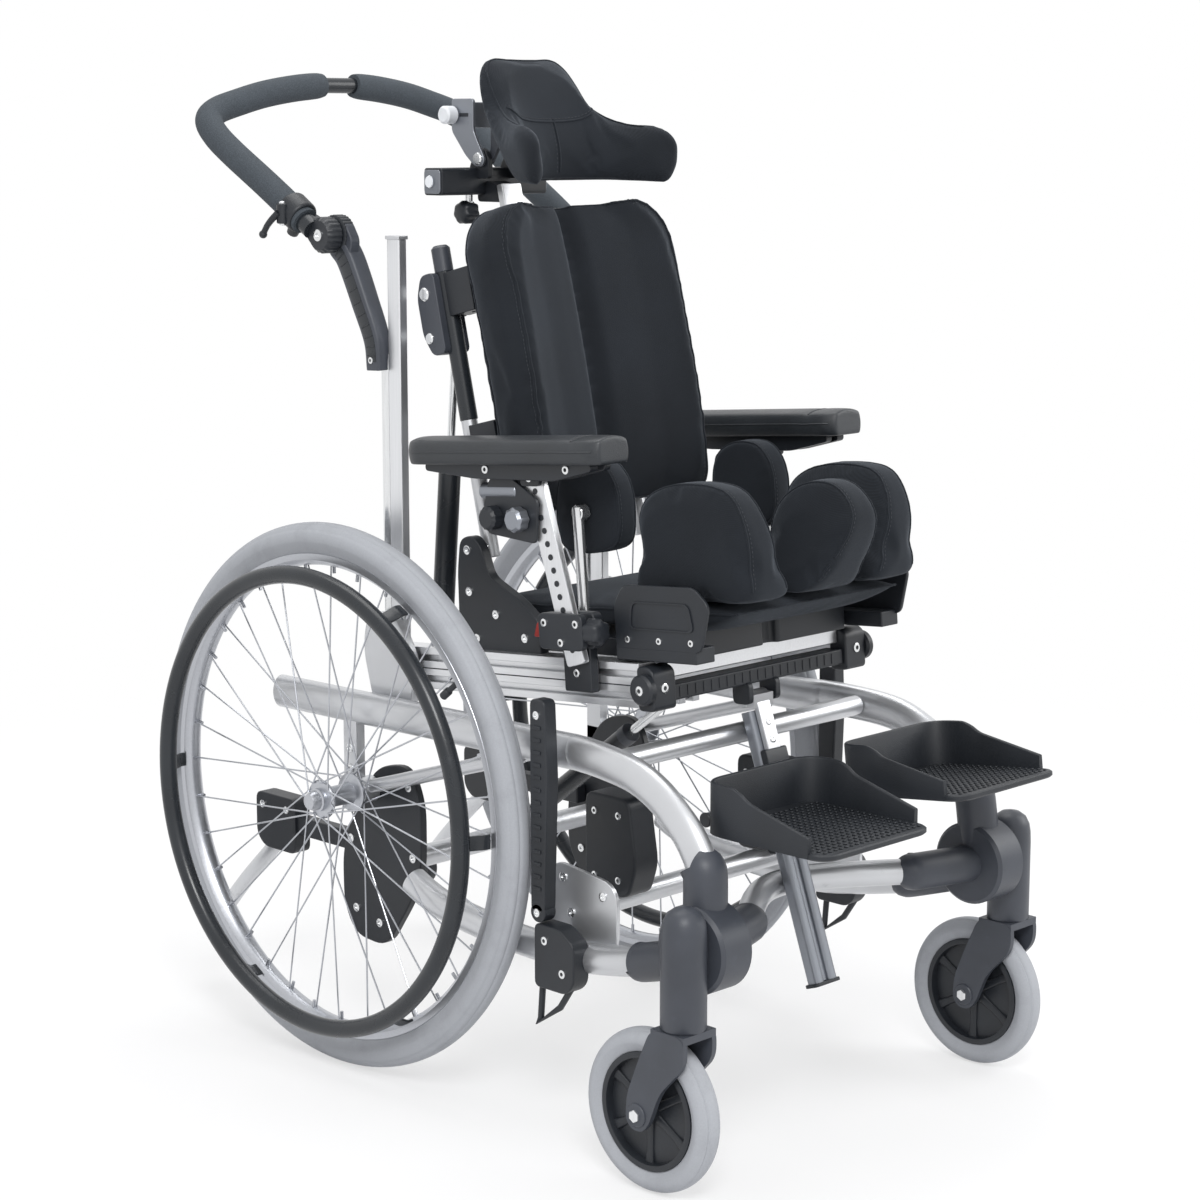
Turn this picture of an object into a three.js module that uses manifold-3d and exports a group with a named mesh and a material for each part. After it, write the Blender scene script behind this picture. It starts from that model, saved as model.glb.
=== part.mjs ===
// Tilt in space wheelchair, millimetres, +Z up, the sitter faces -Y and +X is the sitter's left.
import * as THREE from 'three';
import { mergeVertices } from 'three/addons/utils/BufferGeometryUtils.js';
import Module from 'manifold-3d';

const wasm = await Module();
wasm.setup();

// Driving dimensions: gaps and facets
const gap = 0.3;
const runGap = 0.4;
const bury = 1.5;
const overrun = 20;
const facets = { tube: 10, small: 6, ring: 40, caster: 24, disc: 16, bolt: 8 };
const bend = { steps: 4 };

// Driving dimensions: rear wheels
const wheel = { radius: 305, track: 237, tyreHalf: 17.5, tyreDeep: 33, rimDeep: 13, rimHalf: 12 };
const hub = { radius: 17, flange: 25, flangeThick: 4, half: 29, capRadius: 11, capLong: 12 };
const spoke = { count: 24, radius: 1.3, sides: 3, crossShare: 0.5 };
const pushRim = { drop: 6.7, tube: 10.5, out: 45, tabCount: 6, tabLong: 30, tabIn: 2, tabOver: 7.3, tabWide: 9 };

// Driving dimensions: casters
const caster = { x: 262, axleY: -510, stemY: -550, radius: 83, half: 15, tyreDeep: 23, rimDeep: 7 };
const fork = { blade: 6, bladeGap: 2.6, crownLow: 168, crownHigh: 175.7, crownHalf: 22, boss: 13, bolt: 6 };
const casterHub = { radius: 13, half: 17, spokes: 5, spokeWide: 11, spokeHalf: 7, rimHalf: 12 };

// Driving dimensions: base frame
const upperTube = { tall: 38, wide: 26 };
const upperRoute = [[192, 150, 395], [192, -276, 401], [196, -345, 403], [203, -405, 400], [207, -440, 394],
  [209, -468, 382], [212, -492, 367], [214, -511, 352], [215.5, -525, 335], [216, -530, 326]];
const lowerTube = { radius: 16 };
const lowerRoute = [[200, -86, 217], [200, -110, 207], [200, -145, 198], [202, -230, 190], [202, -323, 188],
  [207, -380, 195], [212, -444, 208]];
const housing = { x: 221, half: 22, radius: 45, y: -540, z: 247, stemRadius: 23, stemTop: 272, stemLow: 176 };
const sleeve = { tube: 22, cross: 20, lower: 20, straight: 12 };
const crossRoute = [[131, -514, 247], [100, -492, 247], [62, -466, 247], [30, -450, 247], [0, -445, 247]];
const crossTube = { radius: 14 };
const topCross = { radius: 11, y: -390, z: 402, clear: 0.85 };
const rearCross = { radius: 12, y: -330, z: 232 };
const linkPlate = { x: 194.5, thick: 5, rear: -298, front: -396, top: 285, low: 198, round: 24 };
const tiltBox = { x: 120, wide: 36, rear: -290, front: -366, low: 238, high: 345, round: 12 };
const axleTube = { radius: 12.5, y: -45, z: 228 };
const axlePlate = { x: 180, thick: 10, front: -81, rear: 55, low: 123, over: 36, round: 22 };
const axlePlateShares = [[0.544, 0.954], [0.154, 1], [0, 0.812], [0, 0.472], [0.125, 0.289], [0.449, 0],
  [0.846, 0.018], [0.993, 0.17], [1, 0.45], [0.89, 0.638]];
const receiver = { radius: 15, long: 22.4 };
const hanger = { rear: 32, front: 10, x: 193, wide: 12, drop: 9, high: 386 };
const strut = { radius: 8, x: 196, rear: -4, rise: 3, front: -255, high: 388 };
const tiltBracket = { inner: 165.5, outer: 181, low: 392, top: 505, rear: 22, front: -66, round: 26 };
const tiltBracketShares = [[0.773, 0], [1, 0.637], [0.886, 1], [0.375, 1], [0, 0.549], [0.114, 0]];
const antiTip = { x: 166, wide: 24, barFront: 20, barLow: 218, barHigh: 244, reach: 150, boxBack: 222, boxLow: 196,
  boxHigh: 262 };
const antiTipArm = { radius: 9, foot: [316, 82], wheel: 22, wheelHalf: 8 };
const brakeBar = { inner: 219, outer: 237, ahead: 15, z: 238, half: 10.8, waist: 380, top: 462, slim: 4 };
const brakeBlock = { inner: 213, outer: 236, behind: 6, ahead: 52, low: 158, high: 226.8 };
const pedal = { x: 228, radius: 3.5 };
const pedalRoute = [[0, 170], [4, 122], [8, 116], [-25, 140], [-42, 165]];

// Driving dimensions: seat unit, measured from the tilt axis in a frame pitched with the seat
const tilt = { y: -25, z: 430, pitch: 4.8 };
const rail = { inner: 137, outer: 163, low: -8, high: 38, front: -372, rear: 14, groove: 7, grooveDeep: 4 };
const post = { inner: 150.5, outer: 162, rear: -10, front: -30, top: 916, low: 455, capOver: 1.5, capThick: 3 };
const reclineEar = { inner: 139, outer: 152, pinRadius: 7, round: 10, rear: 17, front: 115, over: 17, under: 129 };
const reclineShares = [[0.97, 0], [1, 0.712], [0.97, 0.959], [0.818, 1], [0.712, 0.918], [0.621, 0.712],
  [0.265, 0.575], [0.03, 0.438], [0, 0.096]];
const frontBar = { clear: 2, rear: -365, front: -385, low: 20, high: 38 };
const mechBar = { clear: 0.4, rear: -368, front: -392, low: -3, high: 14 };
const corner = { inside: 3, outside: 5, front: -396, rear: -372.4, low: -10, high: 36, knob: 16, knobOut: 9 };
const legLug = { inner: 17.6, outer: 25, rear: -372, front: -396, low: -24 };
const seatCross = { clear: 0.4, mid: -275, rear: -22, wide: 22, low: -8, high: 12, spine: 14, lugDrop: 24 };
const seatPlate = { clear: 3, front: -408, rear: -118, low: 38.3, high: 66, lip: 16, step: 8, lipIn: 12,
  notchWide: 22, notchDeep: 9 };
const sideGuide = { outer: 160, rear: -338, front: -470, low: 52, high: 118, wall: 5, shelfIn: 20, shelfDrop: 12 };
const sideGuideShares = [[1, 0], [1, 0.697], [0.894, 1], [0.152, 1], [0, 0.727], [0.106, 0]];
const seatPad = { half: 135, front: -494, rear: -112, low: 66.4, high: 100, frontRise: 24, noseLong: 80, crown: 7,
  noseRoll: 7, noseIn: 5 };
const thighPad = { outer: 136, thin: 38, thick: 78, front: -503, rear: -346, foot: 94, low: 97.4, high: 222,
  roll: 12 };
const thighShares = [[0.975, 0], [1, 0.4375], [0.962, 0.797], [0.752, 0.969], [0.401, 1], [0.146, 0.922],
  [0.019, 0.672], [0, 0.359], [0.083, 0]];
const pommelPad = { half: 20, baseHalf: 44, front: -545, rear: -428, foot: 92, low: 96.8, high: 214, roll: 11 };
const pommelShares = [[0.983, 0], [1, 0.475], [0.897, 0.803], [0.598, 0.984], [0.256, 0.984], [0.043, 0.82],
  [0, 0.598], [0.214, 0.27], [0.521, 0]];
const hipPad = { inner: 103, outer: 139, front: -331, rear: -233, low: 142, high: 244, roll: 10 };
const hipShares = [[0.929, 0.078], [1, 0.471], [0.908, 0.843], [0.622, 1], [0.265, 0.98], [0.051, 0.765],
  [0, 0.422], [0.092, 0.098], [0.52, 0]];
const armUpright = { inner: 178, outer: 186, wide: 26, low: 36, high: 232, lean: 14, foot: -305, slot: 7 };
const armSlot = { low: 70, high: 160 };
const armClamp = { clear: 0.4, outer: 196, rear: -262, front: -326, low: 52, high: 90, footOuter: 176 };
const armFoot = { low: 6, rear: -276, front: -316 };
const armKnob = { radius: 14, long: 18, z: 71 };
const hipRod = { radius: 6, x: 150, y: -285, low: 60, high: 195 };
const armPad = { x: 183, half: 28, front: -375, rear: -87, low: 243, high: 268, crown: 4, droop: 3 };
const armLug = { thick: 5, rear: -244, front: -272, low: 220 };

// Driving dimensions: backrest, measured from the recline axis in a frame leaning with the back
const back = { y: -125, z: 585, lean: 13.5 };
const backTube = { x: 118, radius: 9, low: -12, high: 330 };
const backPlate = { front: -49.6, rear: -5, levels: [[92, 134], [252, 302]] };
const backClamp = { half: 19, rear: 32, low: 212, high: 304 };
const backLug = { x: 90, thick: 10, rear: 34, low: 252, high: 282 };
const backPad = { half: 148, low: 20, high: 363, rear: -50, deep: 75, corner: 62, edge: 10, crown: 6 };
const backProfileShares = [[0, 0.28], [0.1, 0.52], [0.3, 0.627], [0.5, 0.707], [0.7, 0.853], [0.86, 1], [1, 0.773]];

// Driving dimensions: headrest, in the same leaning frame and then in the row frame
const headStem = { half: 15, front: -4.7, rear: 5.3, low: 214, high: 398 };
const headBar = { half: 82, size: 30, y: 5, z: 975, bridgeFront: -38, bridgeLow: 952 };
const headHinge = { y: -16, z: 1000, lugInner: 20, lugOuter: 27, radius: 12, low: 977 };
const headPlate = { clear: 0.4, front: -68, rear: -8, low: 992, high: 1095 };
const headPlateShares = [[1, 0], [0.733, 0], [0.5, 0.214], [0, 0.388], [0.367, 0.903], [0.533, 1], [0.767, 0.68],
  [0.767, 0.175]];
const headPad = { half: 104, reach: 90, lowY: -104, highY: -49, low: 972, wingHigh: 1042, high: 1114, thick: 16,
  wingThick: 13, roll: 5 };
// From the middle to a wing's end: the lower edge out and ahead, then the upper edge out, ahead and up
const headPadShares = [[0, 0, 0, 0, 1], [0.25, 0.044, 0.308, 0, 1], [0.442, 0.144, 0.5, 0.014, 0.958],
  [0.577, 0.278, 0.615, 0.055, 0.819], [0.673, 0.4, 0.673, 0.124, 0.611], [0.75, 0.522, 0.712, 0.241, 0.306],
  [0.827, 0.656, 0.76, 0.386, 0.111], [0.904, 0.789, 0.837, 0.579, 0.014], [0.962, 0.911, 0.923, 0.786, 0],
  [1, 1, 1, 1, 0]];
const headEndShares = { from: 0.84, left: 0.35, edge: 0.45 };

// Driving dimensions: push handle
const slider = { x: 156, y: -2.3, radius: 7, low: 500, high: 800 };
const handleArm = { wide: 22, thick: 26 };
const handleArmRoute = [[163, 4, 772], [164, 6, 805], [166, 22, 845], [167, 44, 890], [168, 58, 906]];
const handleJoint = { y: 60, z: 918, radius: 22, inner: 163, outer: 179.8 };
const handle = { foam: 15.5, core: 9 };
const handleRoute = [[196, 74, 924], [197, 100, 941], [199, 150, 972], [203, 205, 1006], [204, 234, 1026],
  [198, 254, 1042], [180, 262, 1053], [150, 264, 1062], [110, 264, 1072], [66, 264, 1079], [24, 264, 1083]];
const handleBoss = { inner: 180.1, outer: 200, radius: 20 };
const leverClamp = { atShare: 0.04, radius: 19, long: 26 };
const leverRoute = [[219.7, 104, 942], [223, 112, 934], [224, 119, 927], [224, 126, 918]];
const lever = { radius: 4 };

// Driving dimensions: leg rest
const leg = { y: -404, z: 441, barrel: 9, half: 17.2 };
const footPost = { half: 17, thick: 15, topZ: 428, low: 152, lowY: -505, slopeShare: 0.3536, slot: 5, slotDeep: 3 };
const legLink = { thick: 7, low: 365, high: 436 };
const footBar = { radius: 7, half: 166, y: -488, z: 354 };
const footArm = { half: 11, low: 346, high: 362 };
const plate = { inner: 22, outer: 190, rear: -501, front: -665, low: 347, floor: 7, wall: 6, tall: 54 };
const plateFall = { degrees: 17, start: 50, drop: 2 };
const plateRaise = { l: 7, r: 0 };
const plateRound = { rear: 34, front: 12 };
const plateLug = { start: 32, long: 30, low: 347, high: 361 };

// Driving dimensions: gas springs
const tiltSpring = { ahead: 17, rise: 24, under: 12, radius: 11, rod: 5, eye: 10, half: 5 };
const tiltSpringShares = { tubeStart: 0.07, tubeEnd: 0.68, bore: 0.3, rodStart: 0.34, rodEnd: 0.985 };
const axleLug = { thick: 5.6, wide: 20 };
const backSpring = { lowY: -12, lowZ: 452, highY: -44, highZ: 838, radius: 12.5, rod: 4.5, eye: 9, half: 5 };
const backSpringShares = { tubeStart: 0.07, tubeEnd: 0.6, bore: 0.15, rodStart: 0.34, rodEnd: 0.985 };

// Materials
const paint = (name, color, roughness, metalness) =>
  new THREE.MeshStandardMaterial({ name, color, roughness, metalness });
const silver = paint('silver_frame', 0xb9bcc1, 0.34, 0.85);
const bright = paint('bright_rail', 0xd3d5d8, 0.25, 0.9);
const housingGrey = paint('grey_casting', 0x4c515b, 0.55, 0.1);
const blackPart = paint('black_plastic', 0x24282d, 0.5, 0.05);
const tyreGrey = paint('grey_tyre', 0xa3a5aa, 0.8, 0);
const rimMetal = paint('rim_metal', 0xc4c6ca, 0.3, 0.9);
const ringBlack = paint('coated_ring', 0x2c3036, 0.45, 0.1);
const fabric = paint('black_fabric', 0x23272d, 0.9, 0);
const vinyl = paint('black_vinyl', 0x33383f, 0.5, 0);
const foam = paint('handle_foam', 0x474d54, 0.8, 0);
const platePlastic = paint('plate_plastic', 0x25292e, 0.6, 0);
const postGrey = paint('grey_post', 0x6d717b, 0.4, 0.6);

// Solids: from a three.js geometry to a closed body and back
function solid(geometry) {
  const bare = geometry.index ? geometry.toNonIndexed() : geometry.clone();
  bare.deleteAttribute('normal');
  bare.deleteAttribute('uv');
  const welded = mergeVertices(bare, 1e-4);
  const made = new wasm.Manifold(new wasm.Mesh({
    numProp: 3,
    vertProperties: new Float32Array(welded.attributes.position.array),
    triVerts: new Uint32Array(welded.index.array),
  }));
  return made;
}

const join = (first, ...rest) => rest.reduce((sum, piece) => sum.add(solid(piece)), asBody(first));
const asBody = (item) => (item.isBufferGeometry ? solid(item) : item);
const cut = (body, ...tools) => tools.reduce((sum, tool) => sum.subtract(asBody(tool)), asBody(body));

function toGeometry(item) {
  if (item.isBufferGeometry) return item;
  const mesh = item.getMesh();
  const geometry = new THREE.BufferGeometry();
  const count = mesh.vertProperties.length / mesh.numProp;
  const position = new Float32Array(count * 3);
  for (let i = 0; i < count; i += 1) {
    for (let k = 0; k < 3; k += 1) position[3 * i + k] = mesh.vertProperties[mesh.numProp * i + k];
  }
  geometry.setAttribute('position', new THREE.BufferAttribute(position, 3));
  geometry.setIndex([...mesh.triVerts]);
  geometry.computeVertexNormals();
  return geometry;
}

// Shapes: a box between two corners, cylinders along an axis, plates from outlines
function box(x0, x1, y0, y1, z0, z1) {
  const size = [Math.abs(x1 - x0), Math.abs(y1 - y0), Math.abs(z1 - z0)];
  return new THREE.BoxGeometry(...size).translate((x0 + x1) / 2, (y0 + y1) / 2, (z0 + z1) / 2);
}

function rodBetween(from, to, radius, sides = facets.tube, endRadius = radius) {
  const a = new THREE.Vector3(...from);
  const b = new THREE.Vector3(...to);
  const rod = new THREE.CylinderGeometry(endRadius, radius, a.distanceTo(b), sides);
  const turn = new THREE.Quaternion().setFromUnitVectors(
    new THREE.Vector3(0, 1, 0), b.clone().sub(a).normalize());
  return rod.applyQuaternion(turn).translate(...a.add(b).divideScalar(2).toArray());
}

const across = (x0, x1, y, z, radius, sides = facets.disc) => rodBetween([x0, y, z], [x1, y, z], radius, sides);

// A plate in the YZ plane, from one X to another
function sidePlate(outline, x0, x1) {
  const shape = new THREE.Shape(outline.map(([y, z]) => new THREE.Vector2(y, z)));
  const made = new THREE.ExtrudeGeometry(shape, { depth: Math.abs(x1 - x0), bevelEnabled: false });
  made.applyMatrix4(new THREE.Matrix4().set(0, 0, 1, Math.min(x0, x1), 1, 0, 0, 0, 0, 1, 0, 0, 0, 0, 0, 1));
  return made;
}

// The same with every corner cut by an arc
function roundedOutline(points, radius, steps = bend.steps) {
  const out = [];
  const count = points.length;
  points.forEach((point, i) => {
    const here = new THREE.Vector2(...point);
    const before = new THREE.Vector2(...points[(i + count - 1) % count]).sub(here);
    const after = new THREE.Vector2(...points[(i + 1) % count]).sub(here);
    const reach = Math.min(radius, before.length() / 2.1, after.length() / 2.1);
    const start = here.clone().addScaledVector(before.normalize(), reach);
    const end = here.clone().addScaledVector(after.normalize(), reach);
    const curve = new THREE.QuadraticBezierCurve(start, here, end);
    curve.getPoints(steps).forEach((p) => out.push([p.x, p.y]));
  });
  return out;
}

// A section swept through given stations, its first axis kept along a given side direction
class StationPath extends THREE.Curve {
  constructor(stations, side) {
    super();
    this.stations = stations.map((p) => new THREE.Vector3(...p));
    this.side = new THREE.Vector3(...side);
  }

  getSpacedPoints() {
    return this.stations;
  }

  computeFrenetFrames() {
    const { stations, side } = this;
    const last = stations.length - 1;
    const tangents = stations.map((p, i) => {
      const ahead = stations[Math.min(i + 1, last)].clone().sub(p).normalize();
      const behind = p.clone().sub(stations[Math.max(i - 1, 0)]).normalize();
      return ahead.add(behind).normalize();
    });
    const binormals = tangents.map((t) => side.clone().addScaledVector(t, -side.dot(t)).normalize());
    const normals = tangents.map((t, i) => binormals[i].clone().cross(t));
    return { tangents, normals, binormals };
  }
}

function sweep(stations, outline, side = [1, 0, 0]) {
  const shape = new THREE.Shape(outline.map(([x, y]) => new THREE.Vector2(x, y)));
  const path = new StationPath(stations, side);
  return new THREE.ExtrudeGeometry(shape, { steps: stations.length - 1, extrudePath: path });
}

// An oval section: its first size stands across the side direction, its second along it
function oval(tall, wide, sides = facets.tube) {
  return Array.from({ length: sides }, (_, i) => {
    const angle = (2 * Math.PI * i) / sides;
    return [(tall / 2) * Math.cos(angle), (wide / 2) * Math.sin(angle)];
  });
}

const tubeAlong = (route, radius, sides = facets.tube, side = [1, 0, 0]) =>
  sweep(route, oval(2 * radius, 2 * radius, sides), side);

// A soft pad: an outline in the YZ plane with rolled edges, shaped afterwards by a rule
function rolledPad(outline, x0, x1, roll, rule) {
  const curve = new THREE.CatmullRomCurve3(outline.map(([y, z]) => new THREE.Vector3(y, z, 0)), true);
  const ring = curve.getSpacedPoints(18).slice(0, -1).map((p) => new THREE.Vector2(p.x, p.y));
  const shape = new THREE.Shape(ring);
  const made = new THREE.ExtrudeGeometry(shape, {
    depth: x1 - x0 - 2 * roll, bevelEnabled: true, bevelThickness: roll, bevelSize: roll, bevelOffset: -roll,
    bevelSegments: 2, steps: 1,
  });
  made.applyMatrix4(new THREE.Matrix4().set(0, 0, 1, x0 + roll, 1, 0, 0, 0, 0, 1, 0, 0, 0, 0, 0, 1));
  return rule ? reshape(made, rule) : made;
}

function reshape(geometry, rule) {
  const bare = geometry.clone();
  bare.deleteAttribute('normal');
  bare.deleteAttribute('uv');
  const made = mergeVertices(bare, 1e-4);
  const position = made.attributes.position;
  for (let i = 0; i < position.count; i += 1) {
    position.setXYZ(i, ...rule(position.getX(i), position.getY(i), position.getZ(i)));
  }
  return made;
}

const mirrored = (route, s) => route.map(([x, y, z]) => [s * x, y, z]);
const inPlane = (x, [y, z]) => [x, y, z];
const between = (value, low, high) => Math.min(1, Math.max(0, (value - low) / (high - low)));
const lerp = (a, b, t) => a + (b - a) * t;
const spread = (shares, front, back, low, high) =>
  shares.map(([ahead, up]) => [lerp(front, back, ahead), lerp(low, high, up)]);

// Frames: the pitched seat frame and the leaning back frame
const seatTurn = THREE.MathUtils.degToRad(-tilt.pitch);
const backTurn = THREE.MathUtils.degToRad(-back.lean);

function toRow([y, z], frame, turn) {
  return [frame.y + y * Math.cos(turn) - z * Math.sin(turn), frame.z + y * Math.sin(turn) + z * Math.cos(turn)];
}

const object = new THREE.Group();
object.name = 'tilt_in_space_wheelchair';
const seatUnit = new THREE.Group();
seatUnit.name = 'seat_unit';
seatUnit.position.set(0, tilt.y, tilt.z);
seatUnit.rotation.x = seatTurn;
const backUnit = new THREE.Group();
backUnit.name = 'back_unit';
backUnit.position.set(0, back.y, back.z);
backUnit.rotation.x = backTurn;
object.add(seatUnit, backUnit);

function add(group, name, item, material) {
  const mesh = new THREE.Mesh(toGeometry(item), material.clone());
  mesh.name = name;
  group.add(mesh);
}

const sides = [['l', 1], ['r', -1]];

// Rear wheels: tyre, spoked wheel and push rim
function latheAcross(profile, x, y, z, turns = facets.ring) {
  const made = new THREE.LatheGeometry(profile.map(([r, h]) => new THREE.Vector2(r, h)), turns);
  return made.rotateZ(-Math.PI / 2).translate(x, y, z);
}

function ringProfile(rows) {
  return [...rows, rows[0]];
}

function tyreProfile(radius, deep, half, seat) {
  const rows = [[radius - deep, -seat], [radius - deep * 0.55, -half], [radius - deep * 0.15, -half * 0.7],
    [radius, -half * 0.16], [radius, half * 0.16], [radius - deep * 0.15, half * 0.7],
    [radius - deep * 0.55, half], [radius - deep, seat]];
  return ringProfile(rows);
}

const rimTop = wheel.radius - wheel.tyreDeep - gap;
const rimLow = rimTop - wheel.rimDeep;

function rearWheel(s) {
  const x = s * wheel.track;
  const rim = latheAcross(ringProfile([[rimLow, -wheel.rimHalf], [rimTop, -wheel.rimHalf],
    [rimTop, wheel.rimHalf], [rimLow, wheel.rimHalf]]), x, 0, wheel.radius);
  const hubX = (offset) => x + s * offset;
  let body = join(solid(rim), across(hubX(-hub.half), hubX(hub.half), 0, wheel.radius, hub.radius * 0.7,
    facets.tube));
  for (const side of [-1, 1]) {
    const flange = hub.flange * side;
    body = join(body, across(hubX(flange - hub.flangeThick / 2), hubX(flange + hub.flangeThick / 2),
      0, wheel.radius, hub.radius + hub.flangeThick, facets.tube));
  }
  body = join(body, across(hubX(hub.half - bury), hubX(hub.half + hub.capLong), 0, wheel.radius, hub.capRadius,
    facets.tube));
  for (let i = 0; i < spoke.count; i += 1) {
    const angle = (2 * Math.PI * (i + 0.5)) / spoke.count;
    const side = i % 2 ? 1 : -1;
    const lead = angle + spoke.crossShare * (i % 4 < 2 ? 1 : -1);
    const at = (radius, turn, offset) =>
      [hubX(offset), radius * Math.sin(turn), wheel.radius + radius * Math.cos(turn)];
    body = join(body, rodBetween(at(hub.radius, lead, hub.flange * side),
      at(rimLow + bury, angle, side * bury), spoke.radius, spoke.sides));
  }
  return body;
}

function ring(radius, tube, x, y, z, rows = facets.small) {
  const profile = Array.from({ length: rows }, (_, i) => {
    const angle = (2 * Math.PI * i) / rows;
    return [radius + tube * Math.cos(angle), tube * Math.sin(angle)];
  });
  return latheAcross(ringProfile(profile), x, y, z);
}

function handRing(s) {
  const radius = rimLow - pushRim.drop;
  let body = solid(ring(radius, pushRim.tube, s * (wheel.track + pushRim.out), 0, wheel.radius));
  const from = wheel.track + wheel.rimHalf + gap;
  for (let i = 0; i < pushRim.tabCount; i += 1) {
    const tab = box(s * from, s * (from + pushRim.tabLong), -pushRim.tabWide, pushRim.tabWide,
      radius - pushRim.tabIn, rimLow + pushRim.tabOver);
    tab.rotateX((2 * Math.PI * (i + 0.5)) / pushRim.tabCount).translate(0, 0, wheel.radius);
    body = join(body, tab);
  }
  return body;
}

for (const [tag, s] of sides) {
  const tyre = latheAcross(tyreProfile(wheel.radius, wheel.tyreDeep, wheel.tyreHalf, wheel.rimHalf),
    s * wheel.track, 0, wheel.radius);
  add(object, `tyre_${tag}`, tyre, tyreGrey);
  add(object, `wheel_${tag}`, rearWheel(s), rimMetal);
  add(object, `push_rim_${tag}`, handRing(s), ringBlack);
}

// Casters: fork, hub and tyre
function casterFork(s) {
  const x = s * caster.x;
  const inner = caster.half + fork.bladeGap;
  const blade = [[caster.stemY - fork.crownHalf, fork.crownHigh], [caster.stemY + fork.crownHalf, fork.crownHigh],
    [caster.axleY + fork.boss, caster.radius + 2 * fork.boss], [caster.axleY + fork.boss, caster.radius],
    [caster.axleY + fork.boss / 2, caster.radius - fork.boss], [caster.axleY - fork.boss / 2,
      caster.radius - fork.boss], [caster.axleY - fork.boss, caster.radius],
    [caster.stemY - fork.crownHalf, fork.crownLow - fork.crownHalf]];
  let body = solid(box(x - inner - fork.blade, x + inner + fork.blade, caster.stemY - fork.crownHalf,
    caster.stemY + fork.crownHalf, fork.crownLow, fork.crownHigh));
  for (const side of [-1, 1]) {
    const near = x + side * inner;
    const far = x + side * (inner + fork.blade);
    body = join(body, sidePlate(roundedOutline(blade, fork.boss, 2), near, far));
    body = join(body, across(far - side * bury, far + side * fork.bolt / 2, caster.axleY, caster.radius,
      fork.bolt, facets.small));
  }
  return body;
}

function casterCentre(s) {
  const x = s * caster.x;
  const top = caster.radius - caster.tyreDeep - gap;
  const low = top - caster.rimDeep;
  const rim = latheAcross(ringProfile([[low, -casterHub.rimHalf], [top, -casterHub.rimHalf],
    [top, casterHub.rimHalf], [low, casterHub.rimHalf]]), x, caster.axleY, caster.radius, facets.caster);
  let body = join(solid(rim), across(x - casterHub.half, x + casterHub.half, caster.axleY, caster.radius,
    casterHub.radius, facets.tube));
  for (let i = 0; i < casterHub.spokes; i += 1) {
    const arm = box(-casterHub.spokeHalf, casterHub.spokeHalf, -casterHub.spokeWide / 2, casterHub.spokeWide / 2,
      casterHub.radius - bury, low + bury);
    arm.rotateX((2 * Math.PI * i) / casterHub.spokes).translate(x, caster.axleY, caster.radius);
    body = join(body, arm);
  }
  return body;
}

for (const [tag, s] of sides) {
  add(object, `caster_fork_${tag}`, casterFork(s), housingGrey);
  add(object, `caster_hub_${tag}`, casterCentre(s), blackPart);
  const tyre = latheAcross(tyreProfile(caster.radius, caster.tyreDeep, caster.half, casterHub.rimHalf),
    s * caster.x, caster.axleY, caster.radius, facets.caster);
  add(object, `caster_tyre_${tag}`, tyre, tyreGrey);
}

// Base frame: caster housings with the sleeves that take the tubes
function beyond(route, distance) {
  const end = new THREE.Vector3(...route[route.length - 1]);
  const way = end.clone().sub(new THREE.Vector3(...route[route.length - 2])).normalize();
  return end.addScaledVector(way, distance).toArray();
}

function sleeveFrom(route, radius, target) {
  return tubeAlong([beyond(route, gap), beyond(route, sleeve.straight), target], radius);
}

function casterHousing(s) {
  const disc = across(s * (housing.x - housing.half), s * (housing.x + housing.half), housing.y, housing.z,
    housing.radius);
  const stem = rodBetween([s * caster.x, caster.stemY, housing.stemLow],
    [s * caster.x, caster.stemY, housing.stemTop], housing.stemRadius, 16);
  const dome = new THREE.SphereGeometry(housing.stemRadius, 16, 6).rotateX(Math.PI / 2)
    .translate(s * caster.x, caster.stemY, housing.stemTop);
  const web = box(s * housing.x, s * caster.x, housing.y - housing.stemRadius,
    housing.y + housing.stemRadius / 2, housing.z - housing.radius * 0.7, housing.z + housing.radius * 0.4);
  const upper = mirrored(upperRoute, s);
  const lower = mirrored(lowerRoute, s);
  const cross = mirrored([...crossRoute].reverse(), s);
  const centre = [s * housing.x, housing.y, housing.z];
  return join(solid(disc), stem, dome, web,
    sleeveFrom(upper, sleeve.tube, [centre[0], housing.y, housing.z + housing.radius / 3]),
    sleeveFrom(lower, sleeve.lower, [centre[0], housing.y + housing.radius / 2, housing.z - housing.radius / 2.6]),
    sleeveFrom(cross, sleeve.cross, [s * (housing.x - bury), housing.y - 2 * bury, housing.z]));
}

// Base frame: upper tubes with tilt bracket, axle receiver and strut
function upperSide(s) {
  const tube = sweep(mirrored(upperRoute, s), oval(upperTube.tall, upperTube.wide));
  const bracket = spread(tiltBracketShares, tiltBracket.front, tiltBracket.rear, tiltBracket.low, tiltBracket.top);
  const inner = axlePlate.x + axlePlate.thick / 2 + gap;
  const axle = wheel.radius;
  return join(solid(tube),
    sidePlate(roundedOutline(bracket, tiltBracket.round, 3), s * tiltBracket.inner, s * tiltBracket.outer),
    box(s * (hanger.x - hanger.wide / 2), s * (hanger.x + hanger.wide / 2), hanger.front, hanger.rear,
      axle - hanger.drop, hanger.high),
    across(s * inner, s * (inner + receiver.long), 0, axle, receiver.radius, facets.disc),
    box(s * (hanger.x - hanger.wide / 2), s * (hanger.x + hanger.wide / 2), 0, hanger.rear,
      axle - receiver.radius / 2, axle + receiver.radius / 2),
    rodBetween([s * strut.x, strut.rear, axle + strut.rise], [s * strut.x, strut.front, strut.high], strut.radius,
      facets.small));
}

const brakeY = -wheel.radius - brakeBar.ahead;

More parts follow.
